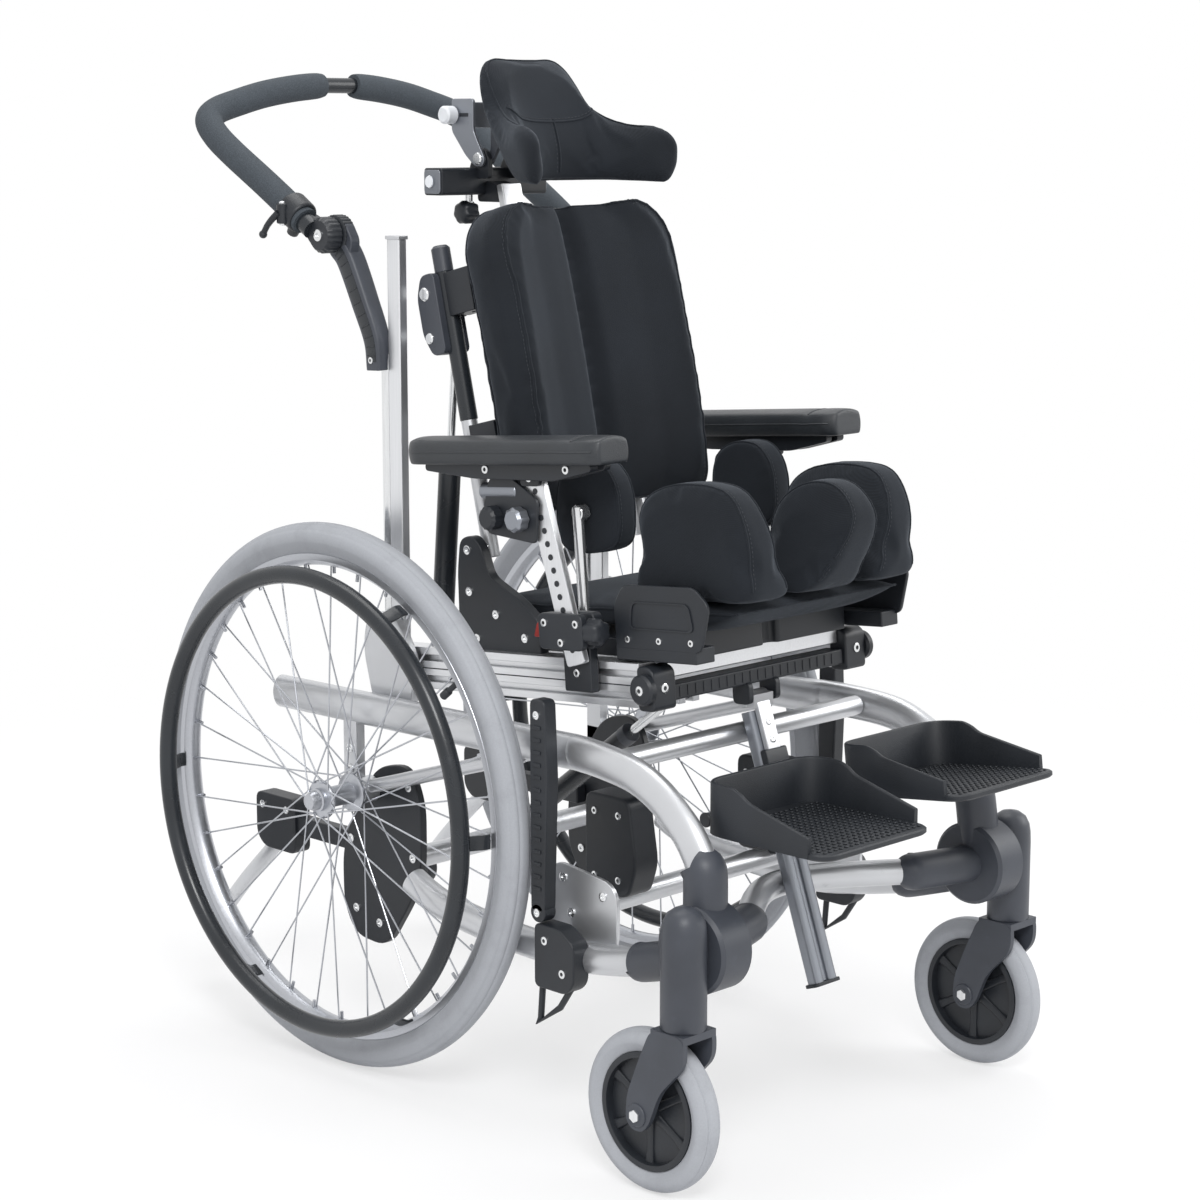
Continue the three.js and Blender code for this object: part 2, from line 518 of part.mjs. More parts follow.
function lowerSide(s) {
  const tube = tubeAlong(mirrored(lowerRoute, s), lowerTube.radius);
  const link = [[linkPlate.rear, linkPlate.low], [linkPlate.rear, linkPlate.top],
    [linkPlate.front, linkPlate.top - linkPlate.round / 2], [linkPlate.front, linkPlate.low]];
  const half = s * linkPlate.thick / 2;
  const loop = pedalRoute.map(([ahead, z]) => [s * pedal.x, brakeY + ahead, z]);
  return join(solid(tube),
    sidePlate(roundedOutline(link, linkPlate.round, 3), s * linkPlate.x - half, s * linkPlate.x + half),
    box(s * brakeBlock.inner, s * brakeBlock.outer, brakeY - brakeBlock.ahead, brakeY + brakeBlock.behind,
      brakeBlock.low, brakeBlock.high),
    tubeAlong(loop, pedal.radius, 6));
}

// Base frame: black axle plates with the anti-tip arm and its wheel
function axleSide(s) {
  const half = axlePlate.thick / 2;
  const arm = antiTip;
  const x0 = s * (arm.x - arm.wide / 2);
  const x1 = s * (arm.x + arm.wide / 2);
  const top = [s * arm.x, arm.boxBack - arm.wide, arm.boxLow + bury];
  const foot = inPlane(s * arm.x, antiTipArm.foot);
  const outline = spread(axlePlateShares, axlePlate.front, axlePlate.rear, axlePlate.low,
    wheel.radius + axlePlate.over);
  return join(solid(sidePlate(roundedOutline(outline, axlePlate.round, 2), s * (axlePlate.x - half),
    s * (axlePlate.x + half))),
  box(x0, x1, arm.barFront, arm.reach + bury, arm.barLow, arm.barHigh),
  box(x0, x1, arm.reach, arm.boxBack, arm.boxLow, arm.boxHigh),
  rodBetween(top, foot, antiTipArm.radius, facets.small),
  across(s * (arm.x - antiTipArm.wheelHalf), s * (arm.x + antiTipArm.wheelHalf), ...antiTipArm.foot,
    antiTipArm.wheel, 16));
}

const mirrorWhole = (route) => [...route.slice(0, -1).map(([x, y, z]) => [-x, y, z]), route[route.length - 1],
  ...[...route.slice(0, -1)].reverse()];

for (const [tag, s] of sides) {
  add(object, `upper_tube_${tag}`, upperSide(s), silver);
  add(object, `lower_tube_${tag}`, lowerSide(s), silver);
  add(object, `axle_plate_${tag}`, axleSide(s), blackPart);
  add(object, `caster_housing_${tag}`, casterHousing(s), housingGrey);
}
add(object, 'front_cross_tube', tubeAlong(mirrorWhole(crossRoute), crossTube.radius, facets.tube, [0, 0, 1]), silver);

// The cross tubes reach the inner faces of the side tubes and plates
function routeX(route, y) {
  const k = route.findIndex((p) => p[1] <= y);
  return lerp(route[k - 1][0], route[k][0], between(-y, -route[k - 1][1], -route[k][1]));
}
const topHalf = routeX(upperRoute, topCross.y) - upperTube.wide / 2 - topCross.clear;
const rearHalf = linkPlate.x - linkPlate.thick / 2 - gap;
const axleHalf = axlePlate.x - axlePlate.thick / 2 - gap;
add(object, 'top_cross_tube', across(-topHalf, topHalf, topCross.y, topCross.z, topCross.radius, 12), silver);

function rearCrossTube() {
  let body = solid(across(-rearHalf, rearHalf, rearCross.y, rearCross.z, rearCross.radius, 12));
  for (const [, s] of sides) {
    const shape = roundedOutline([[tiltBox.rear, tiltBox.low], [tiltBox.rear, tiltBox.high],
      [tiltBox.front + tiltBox.round, tiltBox.high], [tiltBox.front, tiltBox.low + 3 * tiltBox.round],
      [tiltBox.front + tiltBox.round, tiltBox.low]], tiltBox.round, 2);
    body = join(body, sidePlate(shape, s * tiltBox.x - tiltBox.wide / 2, s * tiltBox.x + tiltBox.wide / 2));
  }
  return body;
}
add(object, 'rear_cross_tube', rearCrossTube(), silver);

function axleCrossTube() {
  let body = solid(across(-axleHalf, axleHalf, axleTube.y, axleTube.z, axleTube.radius, 12));
  const middle = axleTube.y - tiltSpring.ahead;
  const high = axleTube.z + tiltSpring.rise + tiltSpring.eye;
  const lug = [[axleTube.y + axleLug.wide / 2, axleTube.z], [middle + axleLug.wide / 2, high],
    [middle - axleLug.wide / 2, high], [axleTube.y - axleLug.wide, axleTube.z]];
  const inner = tiltSpring.half + runGap;
  for (const s of [-1, 1]) {
    body = join(body, sidePlate(lug, s * inner, s * (inner + axleLug.thick)));
  }
  return body;
}
add(object, 'axle_cross_tube', axleCrossTube(), silver);

// Brake levers: an upright bar in front of each rear tyre
for (const [tag, s] of sides) {
  const rear = brakeY + brakeBar.half;
  const front = brakeY - brakeBar.half;
  const outline = [[rear - bury, brakeBar.z], [rear, brakeBar.top], [front, brakeBar.top],
    [front - brakeBar.slim, brakeBar.waist], [front + bury, brakeBar.z]];
  add(object, `brake_lever_${tag}`, join(sidePlate(roundedOutline(outline, bury * 3, 2), s * brakeBar.inner,
    s * brakeBar.outer), across(s * brakeBar.inner, s * brakeBar.outer, brakeY, brakeBar.z, brakeBar.half)),
  blackPart);
}

// Seat unit: side rails with posts and recline brackets
function seatSide(s) {
  const middle = (rail.low + rail.high) / 2;
  const quarter = (rail.high - rail.low) / 4;
  const deep = rail.outer - rail.grooveDeep;
  const section = [[rail.low, rail.inner], [rail.high, rail.inner], [rail.high, rail.outer]];
  for (const level of [middle + quarter, middle - quarter]) {
    section.push([level + rail.groove / 2, rail.outer], [level + rail.groove / 2, deep],
      [level - rail.groove / 2, deep], [level - rail.groove / 2, rail.outer]);
  }
  section.push([rail.low, rail.outer]);
  const shape = new THREE.Shape(section.map(([z, x]) => new THREE.Vector2(s * x, z)));
  const bar = new THREE.ExtrudeGeometry(shape, { depth: rail.rear - rail.front, bevelEnabled: false });
  bar.rotateX(Math.PI / 2).translate(0, rail.rear, 0);
  const level = (piece) => piece.translate(0, -tilt.y, -tilt.z).rotateX(-seatTurn);
  const upright = level(box(s * post.inner, s * post.outer, post.front, post.rear, post.low, post.top));
  const cap = level(box(s * (post.inner - post.capOver), s * (post.outer + post.capOver),
    post.front - post.capOver, post.rear + post.capOver, post.top - bury, post.top + post.capThick));
  const outline = spread(reclineShares, back.y - reclineEar.front, back.y + reclineEar.rear,
    back.z - reclineEar.under, back.z + reclineEar.over);
  const ear = level(sidePlate(roundedOutline(outline, reclineEar.round, 2), s * reclineEar.inner,
    s * reclineEar.outer));
  const pin = level(across(s * (backTube.x + backTube.radius + gap), s * (reclineEar.inner + bury), back.y, back.z,
    reclineEar.pinRadius, 12));
  return join(solid(bar), upright, cap, ear, pin);
}

const crossHalf = rail.inner - seatCross.clear;
const boardHalf = rail.inner - seatPlate.clear;
const clampInner = rail.outer + armClamp.clear;

function seatFront() {
  const tall = corner.high - corner.low;
  const inner = rail.inner - corner.inside;
  const outer = rail.outer + corner.outside;
  const barHalf = rail.inner - mechBar.clear;
  const pieces = [box(-barHalf, barHalf, mechBar.front, mechBar.rear, mechBar.low, mechBar.high)];
  for (const [, s] of sides) {
    pieces.push(box(s * inner, s * outer, corner.front, corner.rear, corner.low, corner.high));
    pieces.push(across(s * (outer - bury), s * (outer + corner.knobOut),
      (corner.front + corner.rear) / 2 - bury, corner.low + tall / 2, corner.knob, 16));
    pieces.push(box(s * legLug.inner, s * legLug.outer, legLug.front, legLug.rear, legLug.low,
      mechBar.low + bury));
  }
  const half = rail.inner - frontBar.clear + bury;
  return join(solid(box(-half, half, frontBar.front, frontBar.rear, frontBar.low, frontBar.high - gap)),
    ...pieces);
}

function seatCrossFrame() {
  const half = seatCross.wide / 2;
  const bars = [seatCross.mid, seatCross.rear].map((y) =>
    box(-crossHalf, crossHalf, y - half, y + half, seatCross.low, seatCross.high));
  const spine = box(-seatCross.spine, seatCross.spine, seatCross.mid, seatCross.rear, seatCross.low + gap,
    seatCross.high - gap);
  const inner = tiltSpring.half + runGap;
  const lugs = [];
  for (const s of [-1, 1]) {
    lugs.push(box(s * inner, s * (inner + half / 2), seatCross.mid - half, seatCross.mid + half,
      seatCross.low - seatCross.lugDrop, seatCross.low + bury));
  }
  const offset = backSpring.half + runGap;
  lugs.push(box(-backLug.x - offset, -backLug.x - offset - half / 2, seatCross.rear - half,
    seatCross.rear + half, seatCross.high - bury, seatCross.high + seatCross.lugDrop));
  return join(solid(bars[0]), bars[1], spine, ...lugs);
}

function seatBoard() {
  const board = box(-boardHalf, boardHalf, seatPlate.front + seatPlate.lip, seatPlate.rear,
    seatPlate.low, seatPlate.high - seatPlate.lip + seatPlate.step);
  const lip = box(-boardHalf + seatPlate.lipIn, boardHalf - seatPlate.lipIn, seatPlate.front,
    seatPlate.front + 2 * seatPlate.lip, seatPlate.low, seatPlate.high);
  const notch = box(-seatPlate.notchWide / 2, seatPlate.notchWide / 2, seatPlate.front - bury,
    seatPlate.front + seatPlate.notchDeep, seatPlate.high - seatPlate.notchDeep, seatPlate.high + bury);
  let body = cut(join(solid(board), lip), notch);
  for (const [, s] of sides) {
    const shape = spread(sideGuideShares, sideGuide.front, sideGuide.rear, sideGuide.low, sideGuide.high);
    const wall = s * sideGuide.wall;
    body = join(body, sidePlate(shape, s * sideGuide.outer, s * sideGuide.outer - wall),
      box(s * (boardHalf - bury), s * sideGuide.outer, sideGuide.front + sideGuide.shelfIn, sideGuide.rear,
        sideGuide.low - sideGuide.shelfDrop, sideGuide.low + sideGuide.wall));
  }
  return body;
}

// Seat unit: cushions
function boxPad(nx, ny, nz, rule) {
  return reshape(new THREE.BoxGeometry(2, 2, 2, nx, ny, nz), rule);
}

function seatCushion() {
  const pad = seatPad;
  return boxPad(10, 8, 3, (a, b, c) => {
    const along = (b + 1) / 2;
    const y = lerp(pad.front, pad.rear, along);
    const rim = 1 - 0.035 * Math.abs(c) ** 3;
    const x = a * pad.half * rim;
    const rise = pad.frontRise * (1 - between(y, pad.front, pad.front + pad.noseLong)) ** 1.6;
    const low = pad.low + rise;
    const crown = pad.crown * Math.cos(a * Math.PI / 2) * Math.sin(along * Math.PI);
    const high = pad.high - pad.crown + crown * 0.9;
    const roll = b < -0.99 ? pad.noseRoll * (1 - c * c) - pad.noseIn : 0;
    return [x, y - roll, lerp(low, high, (c + 1) / 2)];
  });
}

function thighSupport(s) {
  const pad = thighPad;
  const outline = spread(thighShares, pad.front, pad.rear, pad.foot, pad.high);
  const made = rolledPad(outline, pad.outer - pad.thin, pad.outer, pad.roll, (x, y, z) => {
    const inward = between(pad.outer - x, 0, pad.thin);
    const flare = (pad.thick - pad.thin) * (1 - between(z, pad.low, pad.high)) ** 1.3;
    return [x - inward * flare, y, Math.max(z, pad.low)];
  });
  return s > 0 ? made : flipX(made);
}

function flipX(geometry) {
  const made = geometry.clone();
  made.scale(-1, 1, 1);
  const index = made.index.array;
  for (let i = 0; i < index.length; i += 3) [index[i], index[i + 1]] = [index[i + 1], index[i]];
  return made;
}

function pommel() {
  const pad = pommelPad;
  const outline = spread(pommelShares, pad.front, pad.rear, pad.foot, pad.high);
  return rolledPad(outline, -pad.half, pad.half, pad.roll, (x, y, z) => {
    const flare = 1 + (pad.baseHalf / pad.half - 1) * (1 - between(z, pad.low, pad.high)) ** 1.5;
    return [x * flare, y, Math.max(z, pad.low)];
  });
}

function hipSupport(s) {
  const outline = spread(hipShares, hipPad.front, hipPad.rear, hipPad.low, hipPad.high);
  const made = rolledPad(outline, hipPad.inner, hipPad.outer, hipPad.roll, (x, y, z) => [x, y, z]);
  return s > 0 ? made : flipX(made);
}

// Seat unit: armrest clamps, uprights and pads
function armFrame(piece, s) {
  return piece.rotateX(THREE.MathUtils.degToRad(-armUpright.lean)).translate(0, armUpright.foot, armUpright.low);
}

function armBar(s, grow = 0) {
  const length = (armUpright.high - armUpright.low) / Math.cos(THREE.MathUtils.degToRad(armUpright.lean));
  const half = armUpright.wide / 2 + grow;
  return armFrame(box(s * (armUpright.inner - grow), s * (armUpright.outer + grow), -half, half,
    -3 * grow, length + 3 * grow), s);
}

function armUprightBar(s) {
  const slot = armFrame(box(s * (armUpright.inner - bury), s * (armUpright.outer + bury), -armUpright.slot / 2,
    armUpright.slot / 2, armSlot.low, armSlot.high), s);
  return cut(solid(armBar(s)), slot);
}

function armClampBlock(s) {
  const middle = (armClamp.rear + armClamp.front) / 2;
  const rodTop = [s * hipRod.x, hipRod.y, hipRod.high];
  const body = join(solid(box(s * clampInner, s * armClamp.outer, armClamp.front, armClamp.rear, armClamp.low,
    armClamp.high)),
  box(s * clampInner, s * armClamp.footOuter, armFoot.front, armFoot.rear, armFoot.low, armClamp.low + bury),
  rodBetween([s * (armClamp.outer - armKnob.radius), armClamp.front + bury, armKnob.z],
    [s * (armClamp.outer - armKnob.radius), armClamp.front - armKnob.long, armKnob.z], armKnob.radius, 12),
  box(s * (hipRod.x - hipRod.radius), s * (clampInner + bury), hipRod.y - hipRod.radius,
    hipRod.y + hipRod.radius, hipRod.low, hipRod.low + 2 * hipRod.radius),
  rodBetween([s * hipRod.x, hipRod.y, hipRod.low + bury], rodTop, hipRod.radius, facets.small),
  across(s * (hipPad.outer + gap), s * (hipRod.x + hipRod.radius / 2), hipRod.y, hipRod.high - hipRod.radius,
    hipRod.radius * 1.4, facets.small));
  return cut(body, armBar(s, runGap));
}

function armRest(s) {
  const pad = armPad;
  const cushion = boxPad(4, 10, 2, (a, b, c) => {
    const end = Math.sqrt(Math.max(0, 1 - between(Math.abs(b), 0.86, 1.08) ** 2));
    const side = 1 - 0.12 * c * c;
    const y = lerp(pad.front, pad.rear, (b + 1) / 2);
    const crown = c > 0 ? pad.crown * (1 - a * a) : 0;
    return [s * pad.x + a * pad.half * side * end, y,
      lerp(pad.low, pad.high, (c + 1) / 2) + crown - pad.droop * (c > 0 ? 1 - end : 0)];
  });
  const lugs = [armUpright.outer + gap, armUpright.inner - gap - armLug.thick].map((x) =>
    box(s * x, s * (x + armLug.thick), armLug.front, armLug.rear, armLug.low, pad.low + bury));
  return join(solid(cushion), ...lugs);
}

for (const [tag, s] of sides) {
  add(seatUnit, `seat_side_${tag}`, seatSide(s), bright);
  add(seatUnit, `thigh_pad_${tag}`, thighSupport(s), fabric);
  add(seatUnit, `hip_pad_${tag}`, hipSupport(s), fabric);
  add(seatUnit, `arm_clamp_${tag}`, armClampBlock(s), blackPart);
  add(seatUnit, `arm_upright_${tag}`, armUprightBar(s), bright);
  add(seatUnit, `arm_pad_${tag}`, armRest(s), vinyl);
}
add(seatUnit, 'seat_front_bar', seatFront(), blackPart);
add(seatUnit, 'seat_cross_frame', seatCrossFrame(), silver);
add(seatUnit, 'seat_board', seatBoard(), blackPart);
add(seatUnit, 'seat_cushion', seatCushion(), fabric);
add(seatUnit, 'pommel', pommel(), fabric);

// Backrest: frame of two tubes with cross plates, and the contoured cushion
function backFrame() {
  const tubes = sides.map(([, s]) =>
    rodBetween([s * backTube.x, 0, backTube.low], [s * backTube.x, 0, backTube.high], backTube.radius, 12));
  const plates = backPlate.levels.map(([low, high]) =>
    box(-backTube.x, backTube.x, backPlate.front, backPlate.rear, low, high));
  const clamps = sides.map(([, s]) => box(s * (backTube.x - backClamp.half), s * (backTube.x + backClamp.half),
    -bury, backClamp.rear, backClamp.low, backClamp.high));
  const lugX = -backLug.x - backSpring.half - runGap;
  const lug = box(lugX, lugX - backLug.thick, -bury, backLug.rear, backLug.low, backLug.high);
  return join(solid(tubes[0]), tubes[1], ...plates, ...clamps, lug);
}

function profileAt(share) {
  const rows = backProfileShares;
  const k = Math.max(1, rows.findIndex(([a]) => a >= share));
  const deepShare = lerp(rows[k - 1][1], rows[k][1], between(share, rows[k - 1][0], rows[k][0]));
  return backPad.rear - backPad.deep * deepShare;
}

function backCushion() {
  const pad = backPad;
  return boxPad(16, 2, 12, (a, b, c) => {
    const z = lerp(pad.low, pad.high, (Math.sin(c * Math.PI / 2) + 1) / 2);
    const over = Math.max(0, z - (pad.high - pad.corner));
    const under = Math.max(0, pad.low + pad.corner / 2 - z);
    const topIn = pad.corner - Math.sqrt(Math.max(0, pad.corner ** 2 - over ** 2));
    const lowIn = pad.corner / 2 - Math.sqrt(Math.max(0, (pad.corner / 2) ** 2 - under ** 2));
    const half = pad.half - topIn - lowIn;
    const drawn = b > 0.5 ? 1 - pad.edge / pad.half : 1;
    const x = a * half * drawn;
    const share = Math.abs(a);
    const ends = Math.cos(c * Math.PI / 2);
    const front = profileAt(share) + pad.crown * (1 - ends) * 2;
    const y = b < -0.5 ? front : lerp(front, pad.rear, (b + 1) / 2);
    return [x, b > 0.5 ? pad.rear : y, z];
  });
}
add(backUnit, 'back_frame', backFrame(), silver);
add(backUnit, 'back_cushion', backCushion(), fabric);

// Headrest: stem with square bar, hinge plate and winged pad
const backLevel = (piece) => piece.translate(0, -back.y, -back.z).rotateX(-backTurn);

function headMount() {
  const stem = box(-headStem.half, headStem.half, headStem.front, headStem.rear, headStem.low, headStem.high);
  const half = headBar.size / 2;
  const bar = backLevel(box(-headBar.half, headBar.half, headBar.y - half, headBar.y + half, headBar.z - half,
    headBar.z + half));
  const bridge = backLevel(box(-headStem.half, headStem.half, headBar.bridgeFront, headBar.y, headBar.bridgeLow,
    headBar.z));
  const lugs = [bridge];
  for (const s of [-1, 1]) {
    lugs.push(backLevel(box(s * headHinge.lugInner, s * headHinge.lugOuter, headHinge.y - headHinge.radius,
      headBar.y, headHinge.low, headHinge.z + headHinge.radius)));
  }
  return join(solid(stem), bar, ...lugs);
}

// A padded sheet between a lower and an upper edge curve, rounded off at its ends and edges
function headPadRule() {
  const pad = headPad;
  const rows = headPadShares.slice(1).reverse().map((row) => [-1, row])
    .concat(headPadShares.map((row) => [1, row]));
  const lower = new THREE.CatmullRomCurve3(rows.map(([s, [out, ahead]]) =>
    new THREE.Vector3(s * out * pad.half, pad.lowY - ahead * pad.reach, pad.low)));
  const upper = new THREE.CatmullRomCurve3(rows.map(([s, [, , out, ahead, up]]) =>
    new THREE.Vector3(s * out * pad.half, lerp(pad.highY, pad.lowY - pad.reach, ahead),
      lerp(pad.wingHigh, pad.high, up))));
  return (a, b, c) => {
    const t = (a + 1) / 2;
    const bottom = lower.getPoint(t);
    const top = upper.getPoint(t);
    const end = between(Math.abs(a), headEndShares.from, 1);
    const left = Math.sqrt(1 - (1 - headEndShares.left ** 2) * end ** 2);
    const middle = bottom.clone().add(top).divideScalar(2);
    const rise = top.clone().sub(bottom).divideScalar(2);
    const out = rise.clone().cross(lower.getTangent(t).add(upper.getTangent(t))).normalize();
    const drawn = 1 - (pad.roll / rise.length()) * b * b * c ** 6;
    const half = lerp(pad.thick, pad.wingThick, Math.abs(a)) * left * (1 - (1 - headEndShares.edge) * c ** 4);
    return middle.addScaledVector(rise, c * left * drawn).addScaledVector(out, b * half).toArray();
  };
}

function headRest() {
  const plateShape = spread(headPlateShares, headPlate.front, headPlate.rear, headPlate.low, headPlate.high);
  const plateHalf = headHinge.lugInner - headPlate.clear;
  const spine = sidePlate(plateShape, -plateHalf, plateHalf);
  return join(solid(boxPad(24, 2, 5, headPadRule())), spine);
}
add(backUnit, 'head_mount', headMount(), blackPart);
add(object, 'head_rest', headRest(), fabric);

// Push handle: sliding arms, foam bar with its clamp, and the hand lever
for (const [tag, s] of sides) {
  const tube = rodBetween([s * slider.x, slider.y, slider.low], [s * slider.x, slider.y, slider.high], slider.radius,
    facets.small);
  const arm = sweep(mirrored(handleArmRoute, s), oval(handleArm.thick, handleArm.wide, 8));
  const disc = across(s * handleJoint.inner, s * handleJoint.outer, handleJoint.y, handleJoint.z,
    handleJoint.radius, 16);
  add(object, `handle_arm_${tag}`, join(solid(tube), arm, disc), blackPart);
}

function pushHandle() {
  const [end, y, z] = handleRoute[handleRoute.length - 1];
  const core = tubeAlong([[-end - handle.core / 2, y, z], [end + handle.core / 2, y, z]], handle.core, facets.small,
    [0, 0, 1]);
  const pieces = [];
  for (const [, s] of sides) {
    pieces.push(tubeAlong(mirrored(handleRoute, s), handle.foam, facets.bolt, [0.2 * s, 0.5, -1]));
    pieces.push(across(s * handleBoss.inner, s * handleBoss.outer, handleJoint.y, handleJoint.z,
      handleBoss.radius, 16));
  }
  const [from, to] = mirrored(handleRoute.slice(1, 3), -1).map((p) => new THREE.Vector3(...p));
  const middle = from.clone().lerp(to, leverClamp.atShare);
  const way = to.sub(from).normalize();
  const ends = [-1, 1].map((side) => middle.clone().addScaledVector(way, side * leverClamp.long / 2).toArray());
  pieces.push(rodBetween(...ends, leverClamp.radius, 12));
  return join(solid(core), ...pieces);
}
add(object, 'push_handle', pushHandle(), foam);
add(object, 'hand_lever', tubeAlong(mirrored(leverRoute, -1), lever.radius, 6), blackPart);

// Leg rest: hinged link, sliding foot post with its bar, and two foot plates
const postY = (z) => footPost.lowY + (z - footPost.low) * footPost.slopeShare;
const postLean = Math.atan(footPost.slopeShare);

function alongPost(x0, x1, back0, back1, z0, z1) {
  const length = (z1 - z0) / Math.cos(postLean);
  return box(x0, x1, back0, back1, 0, length).rotateX(-postLean).translate(0, postY(z0), z0);
}

function legHinge() {
  const front = -footPost.thick / 2 - gap;
  return join(solid(alongPost(-leg.half, leg.half, front - legLink.thick, front, legLink.low, legLink.high)),
    across(-leg.half, leg.half, leg.y, leg.z, leg.barrel, 14),
    box(-leg.half, leg.half, postY(legLink.high) + front - legLink.thick, leg.y, leg.z - leg.barrel * 0.8,
      leg.z + leg.barrel * 0.8));
}

function footColumn() {
  const half = footPost.thick / 2;
  const column = alongPost(-footPost.half, footPost.half, -half, half, footPost.low, footPost.topZ);
  const slot = (y0, y1) => alongPost(-footPost.slot / 2, footPost.slot / 2, y0, y1, footPost.low - overrun,
    footPost.topZ + overrun);
  const body = cut(solid(column), slot(-half - bury, -half + footPost.slotDeep),
    slot(half - footPost.slotDeep, half + bury));
  return join(body,
    box(-footArm.half, footArm.half, footBar.y, postY(footArm.low), footArm.low, footArm.high),
    across(-footBar.half, footBar.half, footBar.y, footBar.z, footBar.radius, 12));
}

function footPlate(s) {
  const outline = (inset, rear) => {
    const p = [[plate.inner + inset, plate.front], [plate.outer - inset, plate.front],
      [plate.outer - inset, plate.rear - inset], [plate.inner + inset, plate.rear - inset]];
    return roundedCorners(p, [plateRound.front, plateRound.front, rear, rear]);
  };
  const slab = (points, low, high) => {
    const shape = new THREE.Shape(points.map(([x, y]) => new THREE.Vector2(s * x, y)));
    return new THREE.ExtrudeGeometry(shape, { depth: high - low, bevelEnabled: false }).translate(0, 0, low);
  };
  const full = slab(outline(0, plateRound.rear), plate.low, plate.low + plate.tall);
  const inside = [plate.inner + plate.wall, plate.outer - plate.wall];
  const hollow = slab(roundedCorners([[inside[0], plate.front - overrun], [inside[1], plate.front - overrun],
    [inside[1], plate.rear - plate.wall], [inside[0], plate.rear - plate.wall]],
  [0, 0, plateRound.rear - plate.wall, plateRound.rear - plate.wall]), plate.low + plate.floor,
  plate.low + plate.tall + overrun);
  const top = box(s * (plate.inner - overrun), s * (plate.outer + overrun), -plate.tall * 6, 0, 0, plate.tall * 3)
    .rotateX(THREE.MathUtils.degToRad(plateFall.degrees))
    .translate(0, plate.rear - plateFall.start, plate.low + plate.tall - plateFall.drop);
  let body = cut(solid(full), hollow, top);
  for (const start of [plateLug.start, plate.outer - plate.inner - plateLug.start - plateLug.long]) {
    body = join(body, box(s * (plate.inner + start), s * (plate.inner + start + plateLug.long),
      footBar.y - footBar.radius - gap, plate.rear - plate.wall / 2, plateLug.low, plateLug.high));
  }
  return body;
}

function roundedCorners(points, radii) {
  const out = [];
  const count = points.length;
  points.forEach((point, i) => {
    if (!radii[i]) {
      out.push(point);
      return;
    }
    const here = new THREE.Vector2(...point);
    const before = new THREE.Vector2(...points[(i + count - 1) % count]).sub(here).normalize();
    const after = new THREE.Vector2(...points[(i + 1) % count]).sub(here).normalize();
    const curve = new THREE.QuadraticBezierCurve(here.clone().addScaledVector(before, radii[i]), here,
      here.clone().addScaledVector(after, radii[i]));
    curve.getPoints(5).forEach((p) => out.push([p.x, p.y]));
  });
  return out;
}

add(object, 'leg_link', legHinge(), silver);
add(object, 'foot_post', footColumn(), postGrey);
// Each foot plate turns about the cross bar, and the left one stands with its toe raised
for (const [tag, s] of sides) {
  const hinge = new THREE.Group();
  hinge.name = `foot_hinge_${tag}`;
  hinge.position.set(0, footBar.y, footBar.z);
  hinge.rotation.x = THREE.MathUtils.degToRad(-plateRaise[tag]);
  object.add(hinge);
  add(hinge, `foot_plate_${tag}`, toGeometry(footPlate(s)).translate(0, -footBar.y, -footBar.z), platePlastic);
}

// Gas springs: a cylinder and a rod each, with eyes beside the lugs that hold them
function gasSpring(x, low, high, spring, shares) {
  const from = new THREE.Vector3(x, ...low);
  const to = new THREE.Vector3(x, ...high);
  const at = (share) => from.clone().lerp(to, share).toArray();
  const eye = (p) => across(x - spring.half, x + spring.half, p[0], p[1], spring.eye, 12);
  const bore = solid(rodBetween(at(shares.bore), at(1), spring.rod + runGap, facets.small));
  const neck = rodBetween(at(0), at(shares.tubeStart * 1.3), spring.rod, facets.small);
  const barrel = cut(join(solid(rodBetween(at(shares.tubeStart), at(shares.tubeEnd), spring.radius)), eye(low),
    neck), bore);
  const rod = join(solid(rodBetween(at(shares.rodStart), at(shares.rodEnd), spring.rod, facets.small)), eye(high));
  return [barrel, rod];
}

const tiltLow = [axleTube.y - tiltSpring.ahead, axleTube.z + tiltSpring.rise];
const tiltTop = toRow([seatCross.mid, seatCross.low - tiltSpring.under], tilt, seatTurn);
const [tiltBarrel, tiltRod] = gasSpring(0, tiltLow, tiltTop, tiltSpring, tiltSpringShares);
add(object, 'tilt_spring_tube', tiltBarrel, blackPart);
add(object, 'tilt_spring_rod', tiltRod, bright);
const [backBarrel, backRod] = gasSpring(-backLug.x, [backSpring.lowY, backSpring.lowZ],
  [backSpring.highY, backSpring.highZ], backSpring, backSpringShares);
add(object, 'back_spring_tube', backBarrel, blackPart);
add(object, 'back_spring_rod', backRod, bright);

// The row's origin: under the middle of the whole chair
const whole = new THREE.Box3().setFromObject(object, true);
object.position.y = -(whole.min.y + whole.max.y) / 2;
object.position.z = -whole.min.z;

export default object;
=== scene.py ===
# Tilt in space wheelchair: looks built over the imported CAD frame. Sizes below are in millimetres
# from the floor under the rear axle, with the sitter facing -Y and +X the sitter's left.
import math

import bmesh
import bpy
from mathutils import Matrix, Vector
from mathutils.bvhtree import BVHTree


